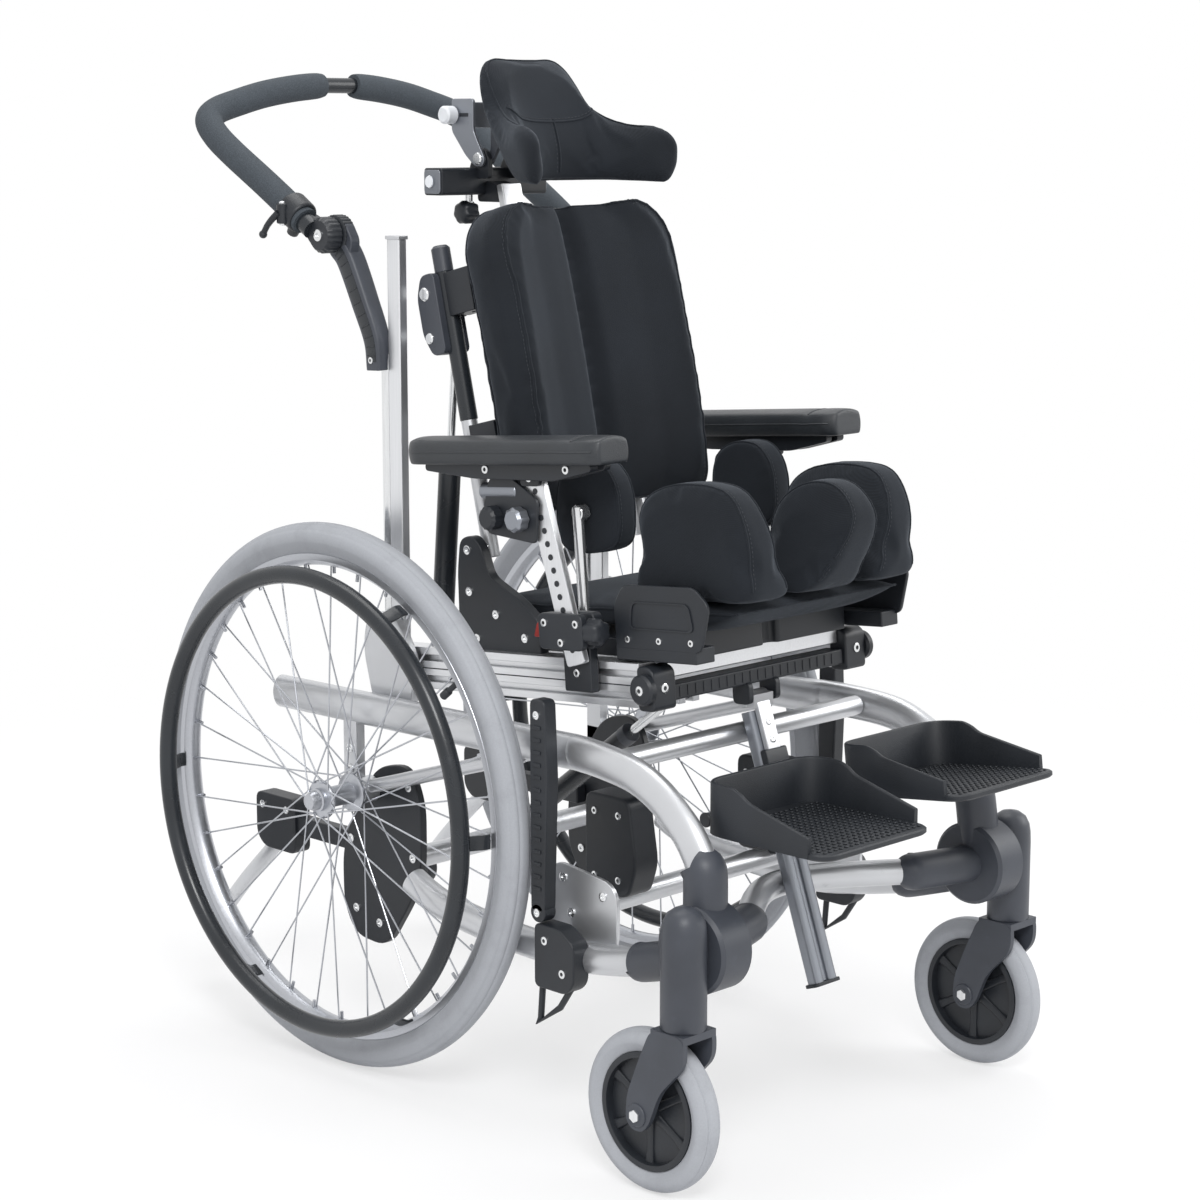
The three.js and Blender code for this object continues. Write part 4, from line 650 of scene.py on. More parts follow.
def spokeTree():
    g = Grower("crossedSpokes", Count=36, Hub_Radius=0.02, Rim_Radius=0.26, Spread=0.025, Cross=0.9, Thickness=0.001)
    index = g.node("GeometryNodeInputIndex")
    turn = index / g.entry["Count"] * (2 * math.pi)
    odd = (index % 2 - 0.5) * 2
    pairs = g.maths("FLOOR", index / 2) % 2

    def spot(angle, radius, x):
        return g.node("ShaderNodeCombineXYZ", {}, {0: x, 1: g.maths("SINE", angle) * radius,
                                                   2: g.maths("COSINE", angle) * radius})
    start = spot(turn + (pairs - 0.5) * 2 * g.entry["Cross"], g.entry["Hub Radius"], odd * g.entry["Spread"])
    end = spot(turn, g.entry["Rim Radius"], odd * 0.002)
    along = g.node("ShaderNodeVectorMath", {"operation": "SUBTRACT"}, {0: end, 1: start})
    length = g.node("ShaderNodeVectorMath", {"operation": "LENGTH"}, {0: along}, out="Value")
    points = g.node("GeometryNodePoints", {}, {"Count": g.entry["Count"], "Position": start})
    line = g.node("GeometryNodeCurvePrimitiveLine", {}, {"End": (0, 0, 1)})
    placed = g.planted(points, line, Rotation=g.facing(along),
                       Scale=g.node("ShaderNodeCombineXYZ", {}, {0: 1.0, 1: 1.0, 2: length}))
    real = g.node("GeometryNodeRealizeInstances", {}, {"Geometry": placed})
    section = g.node("GeometryNodeCurvePrimitiveCircle", {}, {"Resolution": 8, "Radius": g.entry["Thickness"]})
    return g.done(g.node("GeometryNodeCurveToMesh", {}, {"Curve": real, "Profile Curve": section, "Fill Caps": True}))


def makeRearWheels():
    w = rearWheel
    tree = spokeTree()
    out, half, inside, z = w["rimOut"], w["rimHalf"], w["rimIn"], w["centre"]
    rim = [(out, -half), (out + 1, -half + 1.5), (out - 4, -6), (out - 4, 6), (out + 1, half - 1.5), (out, half),
           (out - 7, half), (inside + 2, 8), (inside, 5), (inside - 1, 0), (inside, -5), (inside + 2, -8),
           (out - 7, -half)]
    ring = [(w["ringRadius"] + r, h) for r, h in circle(w["ringTube"], sides=24)]
    sizes = {"Count": w["spokes"], "Hub Radius": w["flangeRadius"] / 1000, "Rim Radius": (inside + 1) / 1000,
             "Spread": w["flange"] / 1000, "Cross": w["cross"], "Thickness": w["spokeThick"] / 1000}
    for m in bothSides("wheel_"):
        s, x = m.s, m.s * w["track"]
        m.piece("rearTyre", tyreShape(w["outer"], w["inner"], w["half"], x, 0, z, w["turns"], w["grooves"]), "tyre",
                "tyre")
        m.piece("wheelRim", lathe(rim, x, 0, z, w["turns"]), "rim", "wheel")
        grow(f"spokes_{m.tag}", tree, sizes, "rim", m.body, None, 40, Matrix.Translation(rowPlace((x, 0, z))))
        m.piece("wheelHub", lathe([(r, s * h) for r, h in w["hub"]], x, 0, z, 48), "rim")
        nipples = []
        for k in range(w["spokes"]):
            angle, side = 2 * math.pi * k / w["spokes"], x + s * 2 * (1 if k % 2 else -1)
            nipples.append(rod(*[(side, math.sin(angle) * r, z + math.cos(angle) * r)
                                 for r in (inside - 9, inside + 1)], *w["nipple"]))
        m.piece("spokeNipples", join(*nipples), "rim")
        m.piece("pushRing", lathe(ring, s * w["ringPlane"], 0, z, w["turns"]), "ring", "push_rim")
        tab = sweep(smoothPath(mirrorX(w["tabRoute"], s), 12), bar(*w["tabBar"]), (0, 1, 0))
        m.piece("ringTabs", join(*[moved(turnedX(tab, 360 * (k + 0.5) / w["tabs"]), 0, 0, z)
                                   for k in range(w["tabs"])]), "ring")
        valve = join(rod((x, 0, 238), (x, 0, 259), *w["valve"], lip=0.6),
                     rod((x, 0, 226), (x, 0, 239), *w["valveFoot"], lip=1))
        m.piece("valve", moved(turnedX(valve, w["valveTurn"]), 0, 0, z), "plastic")


makeRearWheels()
print("rear wheels made")


# Casters: rings of (radius, x), the fork's outline and each sleeve's radius, run and end
casterSet = {
    "x": 262, "axleY": -510, "radius": 83, "half": 15, "tyreIn": 60.3, "arms": 6, "turns": 96, "grooves": (0.5, -0.5),
    "rim": [(60, -11), (60, 11), (57.5, 12), (54, 11.5), (53, 8), (53, -8), (54, -11.5), (57.5, -12)],
    "hub": [(0.1, -17), (8, -17), (10, -16), (12.5, -12), (13, -10), (13, 10), (12.5, 12), (10, 16), (8, 17),
            (0.1, 17)],
    "disc": [(12, -3), (54, -3), (54, 3), (12, 3)], "armBar": (6, 5, 2.5, 3),
    "armRise": ((11, 1), (20, 0.9), (40, 0.85), (54, 1.15)),
    "blade": [(-572, 175.4), (-528, 175.4), (-512, 140), (-496, 100), (-495, 76), (-503, 67), (-517, 67),
              (-526, 77), (-540, 112), (-572, 146)],
    "crown": (-571.6, -528, 168, 175.8),
    "stem": [(0.1, -96), (22, -96), (23, -94), (23, -10), (22.5, 2), (21, 11), (17, 19), (10, 24), (0.1, 26)],
    "barrel": (199, 243, -540, 247, 45, 56), "block": (221, 262, -562, -518, 216, 265)}
sleeves = {"upperSleeve": (22, (215.5, -525, 335), (216, -530, 326), (221, -540, 262)),
           "lowerSleeve": (20, (207, -380, 195), (212, -444, 208), (221, -517.5, 229.7)),
           "crossSleeve": (20, (100, -492, 247), (131, -514, 247), (219, -544, 247))}


def makeCasters():
    c = casterSet
    for m in bothSides("caster_"):
        s, x, y, z = m.s, m.s * c["x"], c["axleY"], c["radius"]
        m.piece("casterTyre", tyreShape(c["radius"], c["tyreIn"], c["half"], x, y, z, c["turns"], c["grooves"]),
                "tyre", "caster_tyre")
        arm = sweep([(0, 0, up) for up, _ in c["armRise"]], bar(*c["armBar"]), (1, 0, 0),
                    scale=[share for _, share in c["armRise"]])
        arms = [moved(turnedX(arm, 360 * k / c["arms"]), x, y, z) for k in range(c["arms"])]
        m.piece("casterCentre", join(lathe(c["rim"], x, y, z, 96), lathe(c["hub"], x, y, z, 48),
                                     lathe(c["disc"], x, y, z, 64), *arms), "plastic", "caster_hub")
        blade = rounded(c["blade"], 12, 6)
        shapes, bolts = [box(x - 23.2, x + 23.2, *c["crown"])], []
        for side in (-1, 1):
            shapes.append(plate(blade, x + side * 17.6, x + side * 23.6))
            shapes.append(across(x + side * 22, x + side * 25.5, y, z, 12, lip=1))
            bolts.append(across(x + side * 25, x + side * 29, y, z, 6.5, 6, lip=0.8))
        m.piece("casterFork", join(*shapes), "casting", "caster_fork", 1.6, "fork_")
        m.piece("casterAxle", join(*bolts, across(x - 27, x + 27, y, z, 4, 16)), "chrome", body="fork_")
        stem = lathe(c["stem"], 0, 0, 0, 56)
        stem = [(p[2] + x, p[1] - 550, p[0] + 272) for p in stem[0]], stem[1]
        m.piece("casterHousing", join(m.across(*c["barrel"], lip=3.5), stem, m.box(*c["block"])), "casting",
                "caster_housing", 3, "base")
        for name, (radius, first, second, target) in sleeves.items():
            a, b = (Vector(p) for p in mirrorX((first, second), s))
            way = (b - a).normalized()
            path = smoothPath([b + way * 0.3, b + way * 3, b + way * 12, Vector((s * target[0], *target[1:]))], 24)
            sizes = [radius - 1.5 if k == 0 else radius for k in range(len(path))]
            hint = (0, 0, 1) if name == "crossSleeve" else (1, 0, 0)
            m.piece(name, sweep(path, circle(1, sides=40), hint, scale=sizes), "casting", body="base")
        m.piece("housingBolt", join(m.across(242, 246.5, -540, 247, 8, 6, lip=0.8),
                                    m.across(242, 244.4, -540, 247, 11, 28, lip=0.6)), "chrome", body="base")


makeCasters()
print("casters made")


# Base frame. A plate is x from, x to, outline, corner radius and steps. The rest is as its function takes it
upperRoute = [(192, 150, 395), (192, -276, 401), (196, -345, 403), (203, -405, 400), (207, -440, 394),
              (209, -468, 382), (212, -492, 367), (214, -511, 352), (215.5, -525, 335), (216, -530, 326)]
lowerRoute = [(200, -86, 217), (200, -110, 207), (200, -145, 198), (202, -230, 190), (202, -323, 188),
              (207, -380, 195), (212, -444, 208)]
crossRoute = [(131, -514, 247), (100, -492, 247), (62, -466, 247), (30, -450, 247), (0, -445, 247)]
baseSet = {
    "upper": (13, 19, 40), "cap": (12.4, 18.4, 40), "lowerRadius": 16, "crossRadius": 14,
    "capRise": ((147, 1), (149.9, 1), (150.1, 1), (151, 0.94)),
    "bracket": (165.6, 178.6, [(2, 392), (22, 464), (12, 505), (-33, 505), (-66, 454), (-56, 392)], 24, 8),
    "hanger": (187, 199, 10, 32, 296, 384), "hangerFoot": (187, 199, 0, 32, 297.5, 312.5),
    "axleBoss": (185.4, 207.6, 0, 305, 15, 40), "strut": ((196, -4, 308), (196, -255, 386), 8, 32),
    "bracketScrews": ((165.4, -34, 429, -1), (199.2, 21, 350), (199.2, 21, 326)),
    "lowerCap": ((200, -85.5, 217.2), (200, -89, 215.7), 15.2, 36),
    "link": (192, 197, [(-298, 198), (-298, 285), (-396, 273), (-396, 198)], 24, 8),
    "linkScrews": ((191.8, -318, 268, -1), (191.8, -376, 258, -1), (197.2, -330, 232), (197.2, -318, 268),
                   (197.2, -376, 258)),
    "block": (213, 236, [(-314, 158), (-314, 226.5), (-350, 226.5), (-372, 212), (-372, 170), (-360, 158)], 8, 5),
    "blockFoot": (205, 214, -360, -322, 176, 205), "brakeScrews": ((236.2, -330, 210), (236.2, -356, 180)),
    "pedal": [(228, -320, 170), (228, -316, 122), (228, -312, 116), (228, -345, 140), (228, -362, 165)],
    "lever": (219.2, 236.8, [(-310, 238), (-309.2, 462), (-330.8, 462), (-334.8, 380), (-330, 238)], 7, 6),
    "leverBoss": (219.2, 236.8, -320, 238, 10.7, 40), "leverScrews": ((237, -320, 238), (237, -320, 446)),
    "axlePlate": (175, 185, [(-7, 331), (-60, 341), (-81, 300), (-81, 226), (-64, 186), (-20, 123), (34, 127),
                             (54, 160), (55, 221), (40, 262)], 22, 6),
    "axleScrews": ((-10, 150), (30, 160), (-62, 316), (38, 240), (-68, 236)),
    "antiTip": (154, 178, [(150, 196), (150, 262), (222, 262), (222, 210), (208, 196)], 10, 5),
    "antiTipNeck": (158, 174, 21, 152, 220, 242),
    "antiTipRoute": [(166, 198, 200), (166, 262, 140), (166, 316, 82)],
    "antiTipRing": [(7, -8), (19, -8), (22, -5), (22, 5), (19, 8), (7, 8)],
    "antiTipAxle": (156.5, 175.5, 316, 82, 7, 24), "antiTipScrews": ((178.2, 208, 248), (178.2, 164, 248)),
    "topCross": (-187.3, 187.3, -390, 402, 11, 40), "rearCross": (-191.6, 191.6, -330, 232, 12, 40),
    "axleCross": (-174.6, 174.6, -45, 228, 12.5, 40),
    "tiltBox": (102.2, 137.8, [(-290, 238), (-290, 345), (-354, 345), (-366, 274), (-354, 238)], 12, 6),
    "tiltBoxScrews": ((138, -305, 326), (138, -340, 326), (138, -305, 256), (138, -340, 256), (102, -305, 326, -1),
                      (102, -340, 256, -1)),
    "lug": (5.6, 10.9, [(-35, 228), (-52, 262), (-72, 262), (-65, 228)], 6, 5)}


def makeBase():
    b = baseSet
    for m in bothSides("base"):
        s = m.s
        m.piece("upperTube", sweep(smoothPath(mirrorX(upperRoute, s), 90), circle(*b["upper"])), "silver",
                "upper_tube")
        m.piece("tubeCap", sweep([(s * 192, y, 395) for y, _ in b["capRise"]], circle(*b["cap"]),
                                 scale=[share for _, share in b["capRise"]]), "casting")
        m.piece("tiltBracket", m.plate(*b["bracket"]), "silver", bevel=2.5)
        m.piece("axleHanger", join(m.box(*b["hanger"]), m.across(*b["axleBoss"], lip=1), m.box(*b["hangerFoot"])),
                "silver", bevel=1.2)
        m.piece("axleStrut", m.rod(*b["strut"]), "silver")
        m.screws("bracketScrews", b["bracketScrews"], 5.5, 3)
        m.piece("lowerTube", tube(mirrorX(lowerRoute, s), b["lowerRadius"], 40, count=70), "silver", "lower_tube")
        m.piece("lowerTubeCap", m.rod(*b["lowerCap"]), "casting")
        m.piece("linkPlate", m.plate(*b["link"]), "silver", bevel=1)
        m.screws("linkScrews", b["linkScrews"], 5, 2.4)
        m.piece("brakeBlock", join(m.plate(*b["block"]), m.box(*b["blockFoot"])), "plastic", bevel=2)
        m.screws("brakeScrews", b["brakeScrews"], 4.5, 2.2)
        m.piece("brakePedal", tube(mirrorX(b["pedal"], s), 3.5, 16, smooth=False), "plastic")
        m.piece("brakeLever", join(m.plate(*b["lever"]), m.across(*b["leverBoss"])), "plastic", "brake_lever", 2.2,
                "brake_")
        m.piece("leverRibs", join(*[m.box(236.5, 238, -326, -315, z, z + 4) for z in range(262, 440, 13)]), "plastic",
                bevel=0.6, body="brake_")
        m.screws("leverScrews", b["leverScrews"], 4.5, 2.6, "brake_")
        m.piece("axlePlate", m.plate(*b["axlePlate"]), "plastic", "axle_plate", 2)
        m.screws("axleScrews", [(185.2, *at) for at in b["axleScrews"]]
                 + [(174.8, *at, -1) for at in b["axleScrews"][:4]], 5, 2.6)
        m.piece("antiTipBox", join(m.plate(*b["antiTip"]), m.box(*b["antiTipNeck"])), "plastic", bevel=2)
        m.piece("antiTipArm", tube(mirrorX(b["antiTipRoute"], s), 9, 28), "silver")
        m.piece("antiTipWheel", join(lathe(b["antiTipRing"], s * 166, 316, 82, 56),
                                     m.across(*b["antiTipAxle"], lip=1)), "plastic")
        m.screws("antiTipScrews", b["antiTipScrews"], 4.5, 2.4)
    whole = [(-x, y, z) for x, y, z in crossRoute[:-1]] + [crossRoute[-1]] + list(reversed(crossRoute[:-1]))
    piece("frontCrossTube", tube(whole, b["crossRadius"], 40, (0, 0, 1), count=80), "silver", "base",
          ["front_cross_tube"])
    piece("topCrossTube", across(*b["topCross"]), "silver", "base", ["top_cross_tube"])
    piece("rearCrossTube", across(*b["rearCross"]), "silver", "base", ["rear_cross_tube"])
    for m in bothSides("base"):
        m.piece("tiltBox", m.plate(*b["tiltBox"]), "plastic", bevel=3)
        m.screws("tiltBoxScrews", b["tiltBoxScrews"], 4, 2)
    piece("axleCrossTube", across(*b["axleCross"]), "silver", "base", ["axle_cross_tube"])
    piece("axleLugs", join(*[m.plate(*b["lug"]) for m in bothSides("base")]), "silver", "base", bevel=0.8)


makeBase()
print("base frame made")


# Seat unit: rails, posts and cross members
seatSet = {
    "levels": (26.5, 3.5), "ends": (-372, 14), "seam": (162.6, 163.4, -371, 13, 14.4, 15.6),
    "post": (150.5, 162, -30, -10, 455, 916), "postCap": (149.2, 163.4, -31.3, -8.7, 914.6, 918.8),
    "ear": (139.2, 151.8, [(-112, 456), (-108, 560), (-112, 596), (-132, 602), (-146, 590), (-158, 560), (-205, 540),
                           (-236, 520), (-240, 470)], 10, 6),
    "reclinePin": (127.4, 139.5, -125, 585, 7, 32),
    "reclineScrews": ((152, -125, 585), (152, -128, 540), (152, -170, 520), (152, -215, 500), (152, -140, 490)),
    "corner": (134.2, 167.8, [(-396, -10), (-396, 30), (-388, 36), (-372.6, 36), (-372.6, -10)], 6, 5),
    "knob": (166, 177, -385.5, 13, 16, 48), "legLug": (17.7, 24.9, [(-372, -24), (-372, 0), (-396, 0), (-396, -24)],
                                                       7, 5),
    "frontBar": (-134, 134, -385, -365.4, 20, 37.6), "mechanism": (-134, 134, -392, -368.4, -2.9, 14),
    "crossBars": ((-136.5, 136.5, -286, -264, -8, 12), (-136.5, 136.5, -33, -11, -8, 12)),
    "spine": ((-14, 14, -265, -32, -7.6, 11.6), (5.5, 16.3, -285.8, -264.2, -31.8, -7),
              (-5.5, -16.3, -285.8, -264.2, -31.8, -7), (-95.5, -106.3, -32.8, -11.2, 11, 35.8)),
    "board": ([(-134, -392), (134, -392), (134, -118), (-134, -118)], 14, 5),
    "lip": ([(-122, -408), (-11, -408), (-9, -399), (9, -399), (11, -408), (122, -408), (122, -377), (-122, -377)],
            4, 4),
    "guide": (155.2, 159.8, [(-338, 52), (-338, 98), (-352, 118), (-450, 118), (-470, 100), (-456, 52)], 9, 6),
    "tray": (132, 159.6, -450, -338, 40.3, 56.8),
    "window": ([(-362, 74), (-366, 100), (-440, 100), (-446, 74)], 7, 5), "windowMiddle": (-403, 88),
    "guideScrews": ((160, -356, 62), (160, -400, 62), (160, -444, 62))}


def makeSeatFrame():
    f = seatSet
    for m in bothSides("seat"):
        s = m.s
        section = [(137, -8), (137, 38), (163, 38)]
        for level in f["levels"]:  # the grooves along the rail's outer face
            section += [(163, level + 3.5), (159, level + 3.5), (159, level + 5), (156, level + 5), (156, level - 5),
                        (159, level - 5), (159, level - 3.5), (163, level - 3.5)]
        section += [(163, -8)]
        m.piece("seatRail", prism(*[[(s * x, y, z) for x, z in section] for y in f["ends"]]), "bright", "seat_side",
                0.6, place=seatPlace)
        m.piece("railSeam", m.box(*f["seam"]), "plastic", place=seatPlace)
        m.piece("seatPost", m.box(*f["post"]), "brightUp", bevel=1.6)
        m.piece("postCap", m.box(*f["postCap"]), "silver", bevel=0.9)
        m.piece("reclineEar", m.plate(*f["ear"]), "plastic", bevel=1.6)
        m.piece("reclinePin", m.across(*f["reclinePin"]), "chrome")
        m.screws("reclineScrews", f["reclineScrews"], 5, 2.6)
        m.piece("frontCorner", m.plate(*f["corner"]), "plastic", bevel=2.5, place=seatPlace)
        m.piece("frontKnob", m.across(*f["knob"], lip=2.5), "plastic", place=seatPlace)
        screws(f"frontScrews_{m.tag}", [((s * 177, -385.5, 13), (s, 0, 0)), ((s * 152, -396, 13), (0, -1, 0))],
               "seat", 5, 2.4, seatPlace)
        m.piece("legLug", m.plate(*f["legLug"]), "plastic", bevel=1, place=seatPlace)
    ribs = [box(x, x + 3, -392.8, -391.5, 0, 11) for x in range(-126, 126, 12)]
    for name, shapes, finish, nodes, bevel in (
            ("frontBar", [box(*f["frontBar"])], "bright", ["seat_front_bar"], 1.5),
            ("mechanismBar", [box(*f["mechanism"])], "plastic", (), 2),
            ("mechanismRibs", ribs, "plastic", (), 0.5),
            ("seatCrossBars", [box(*row) for row in f["crossBars"]], "silver", ["seat_cross_frame"], 1.6),
            ("seatSpine", [box(*row) for row in f["spine"]], "silver", (), 1.2),
            ("seatBoard", [slab(rounded(*f["board"]), 38.5, 57.8), slab(rounded(*f["lip"]), 38.4, 65.8)], "plastic",
             ["seat_board"], 1.8)):
        piece(name, join(*shapes), finish, "seat", nodes, seatPlace, bevel)
    for m in bothSides("seat", seatPlace):
        m.piece("thighGuide", join(m.plate(*f["guide"]), m.box(*f["tray"])), "plastic", bevel=1.5)
        window = [Vector(p) for p in rounded(*f["window"])]
        centre = Vector(f["windowMiddle"])
        points, faces = [], []
        for k, a in enumerate(window):  # a raised frame round the guide's window
            wider = a + (a - centre).normalized() * 3.5
            points += [(m.s * 159.4, *a), (m.s * 161.2, *a), (m.s * 161.2, *wider), (m.s * 159.4, *wider)]
            n = (k + 1) % len(window)
            faces += [(4 * k + j, 4 * n + j, 4 * n + (j + 1) % 4, 4 * k + (j + 1) % 4) for j in range(4)]
        m.piece("guideFrame", (points, faces), "plastic")
        m.screws("guideScrews", f["guideScrews"], 3.5, 2)


makeSeatFrame()
print("seat frame made")


# What repeats, grown by Geometry Nodes
def stitchTree():
    g = Grower("stitchesAlongSeam", Spacing=0.004, Stitch=0.0028, Thickness=0.0005)
    curve = g.node("GeometryNodeMeshToCurve", {}, {"Mesh": g.entry["Geometry"]})
    even = g.node("GeometryNodeResampleCurve", {"mode": "LENGTH"}, {"Curve": curve, "Length": g.entry["Spacing"]})
    thread = g.node("GeometryNodeMeshUVSphere", {}, {"Segments": 6, "Rings": 4, "Radius": 0.5})
    size = g.node("ShaderNodeCombineXYZ", {}, {0: g.entry["Thickness"], 1: g.entry["Thickness"],
                                               2: g.entry["Stitch"]})
    return g.done(g.planted(even, thread, Rotation=g.facing(g.node("GeometryNodeInputTangent")), Scale=size))


def studTree():
    g = Grower("gripStudsOverFloor", Wide=0.13, Long=0.14, Columns=16, Rows=17, Stud=0.0022, High=0.0012)
    grid = g.node("GeometryNodeMeshGrid", {}, {"Size X": g.entry["Wide"], "Size Y": g.entry["Long"],
                                               "Vertices X": g.entry["Columns"], "Vertices Y": g.entry["Rows"]})
    stud = g.node("GeometryNodeMeshCone", {}, {"Vertices": 10, "Radius Top": g.entry["Stud"] * 0.6,
                                               "Radius Bottom": g.entry["Stud"], "Depth": g.entry["High"]})
    return g.done(g.planted(grid, stud))


stitchNodes = stitchTree()
studNodes = studTree()


# Soft pads: a closed form, softened, blown up as cloth and then sewn
pads = []
clothFrames = 20
coverCloth = {"mass": 0.15, "tension_stiffness": 12, "compression_stiffness": 12, "shear_stiffness": 6,
              "bending_stiffness": 1.2, "use_pressure": True, "uniform_pressure_force": 4}


def gridBox(nx, ny, nz, rule):
    points, faces = [], []

    def face(u, v, fixed, order, flip):
        start = len(points)
        for i in range(u + 1):
            for j in range(v + 1):
                spot = [0, 0, 0]
                spot[order[0]], spot[order[1]], spot[order[2]] = 2 * i / u - 1, 2 * j / v - 1, fixed
                points.append(rule(*spot))
        for i in range(u):
            for j in range(v):
                k = start + i * (v + 1) + j
                quad = (k, k + v + 1, k + v + 2, k + 1)
                faces.append(tuple(reversed(quad)) if flip else quad)
    for fixed in (-1, 1):
        face(nx, ny, fixed, (0, 1, 2), fixed < 0)
        face(ny, nz, fixed, (1, 2, 0), fixed < 0)
        face(nx, nz, fixed, (0, 2, 1), fixed > 0)
    return points, faces


def inLimits(value, low, high):
    return min(1, max(0, (value - low) / (high - low)))


def lerp(a, b, t):
    return a + (b - a) * t


def closedCurve(corners, count=72):
    spots = [Vector(c) for c in corners]
    n = len(spots)
    out = []
    each = max(2, count // n)
    for i in range(n):
        a, b, c, d = spots[i - 1], spots[i], spots[(i + 1) % n], spots[(i + 2) % n]
        for k in range(each):
            t = k / each
            out.append(tuple(0.5 * ((2 * b) + (c - a) * t + (2 * a - 5 * b + 4 * c - d) * t * t
                                    + (3 * b - a - 3 * c + d) * t ** 3)))
    return out


def rolledPad(outline, x0, x1, roll, rule):  # an upright pad: its outline shrinks towards both faces
    ring = closedCurve(outline)
    count = len(ring)
    cy, cz = sum(p[0] for p in ring) / count, sum(p[1] for p in ring) / count
    reach = max(math.hypot(y - cy, z - cz) for y, z in ring)
    rows = [(x0, 0.25), (x0, 0.5), (x0, 0.8)]
    for k in range(7):
        angle = math.pi / 2 * k / 6
        rows.append((x0 + roll * (1 - math.cos(angle)), 1 - roll / reach * (1 - math.sin(angle))))
    rows += [(lerp(x0 + roll, x1 - roll, t), 1) for t in (0.25, 0.5, 0.75)]
    for k in range(7):
        angle = math.pi / 2 * (1 - k / 6)
        rows.append((x1 - roll * (1 - math.cos(angle)), 1 - roll / reach * (1 - math.sin(angle))))
    rows += [(x1, 0.8), (x1, 0.5), (x1, 0.25)]
    points = [rule(x, cy + (y - cy) * share, cz + (z - cz) * share) for x, share in rows for y, z in ring]
    faces = [(i * count + k, (i + 1) * count + k, (i + 1) * count + (k + 1) % count, i * count + (k + 1) % count)
             for i in range(len(rows) - 1) for k in range(count)]
    faces += [tuple(range(count)), tuple(reversed(range((len(rows) - 1) * count, len(rows) * count)))]
    return points, faces


def settled(obj):  # the mesh with its modifiers worked in
    mesh = bpy.data.meshes.new_from_object(obj.evaluated_get(bpy.context.evaluated_depsgraph_get()))
    obj.modifiers.clear()
    old = obj.data
    obj.data = mesh
    bpy.data.meshes.remove(old)


def relaxed(obj, times):
    relax = obj.modifiers.new("relax", "SMOOTH")
    relax.factor, relax.iterations = 0.5, times
    settled(obj)


def finer(obj):
    fine = obj.modifiers.new("finer", "SUBSURF")
    fine.levels = fine.render_levels = 1


def softForm(name, shape, body, node, place, sizes, rest=None):
    voxel, shrink, cap, times, fill = sizes
    obj = meshObject(name, shape, place)
    remesh = obj.modifiers.new("evenFaces", "REMESH")
    remesh.mode, remesh.voxel_size = "VOXEL", voxel / 1000
    relaxed(obj, times)
    mesh = obj.data
    normals = [v.normal.copy() for v in mesh.vertices]
    for vertex, normal in zip(mesh.vertices, normals):
        vertex.co -= normal * shrink / 1000
    rests = [(place(p), (place(Vector(p) + Vector(n)) - place(p)).normalized()) for p, n in ([rest] if rest else [])]
    pads.append({"obj": obj, "body": body, "nodes": [node], "cap": cap / 1000, "fill": fill, "rests": rests,
                 "shrink": shrink / 1000})
    return obj


def blowUp():
    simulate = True
    for pad in pads:
        pad["start"] = [v.co.copy() for v in pad["obj"].data.vertices]
        if simulate:
            cloth = pad["obj"].modifiers.new("cover", "CLOTH")
            for key, value in coverCloth.items():
                setattr(cloth.settings, key, value)
            cloth.settings.effector_weights.gravity = 0
            cloth.point_cache.frame_start, cloth.point_cache.frame_end = 1, clothFrames
    if simulate:
        for step in range(1, clothFrames + 1):
            bpy.context.scene.frame_set(step)
    for pad in pads:
        obj = pad["obj"]
        settled(obj)
        mesh = obj.data
        for vertex, start in zip(mesh.vertices, pad["start"]):
            move = vertex.co - start if simulate else vertex.normal * pad["shrink"]
            if move.length > pad["cap"]:
                move = move.normalized() * pad["cap"]
            vertex.co = start + move
            for point, normal in pad["rests"]:
                depth = (vertex.co - point).dot(normal)
                if depth < 0:
                    vertex.co -= normal * depth
        mesh.update()
        finer(obj)
        settled(obj)
        smoothed(obj.data)
        dress(obj, "fabric", pad["body"], pad["nodes"])
    if simulate:
        bpy.context.scene.frame_set(1)


def sewn(name, obj, routes, place, body, radius=1.3, lift=0.3, finish="fabric", stitch=0):
    mesh = obj.data
    tree = BVHTree.FromPolygons([v.co for v in mesh.vertices], [p.vertices[:] for p in mesh.polygons])
    shapes, spots, edges = [], [], []
    for route in routes:
        path = []
        for p in smoothPath(route, 90):
            spot, normal, _, _ = tree.find_nearest(place(p))
            path.append((spot + normal * lift / 1000) * 1000)
        shapes.append(sweep(path, circle(radius, sides=8), (0.3, 0.5, 0.81)))
        for k in range(1, len(path) - 1):
            spot, normal, _, _ = tree.find_nearest(path[k] / 1000)
            beside = normal.cross(path[k + 1] - path[k - 1]).normalized() * stitch / 1000
            spot, normal, _, _ = tree.find_nearest(spot + beside)
            if k > 1:
                edges.append((len(spots) - 1, len(spots)))
            spots.append(spot + normal * 0.0001)
    if stitch:
        base = bpy.data.meshes.new(name + "Lines")
        base.from_pydata(spots, edges, [])
        grow(f"{name}Stitches", stitchNodes, {"Spacing": 0.0045, "Stitch": 0.003, "Thickness": 0.0007}, "thread",
             body, base)
    return piece(name, join(*shapes), finish, body, (), lambda p: Vector(p) / 1000)


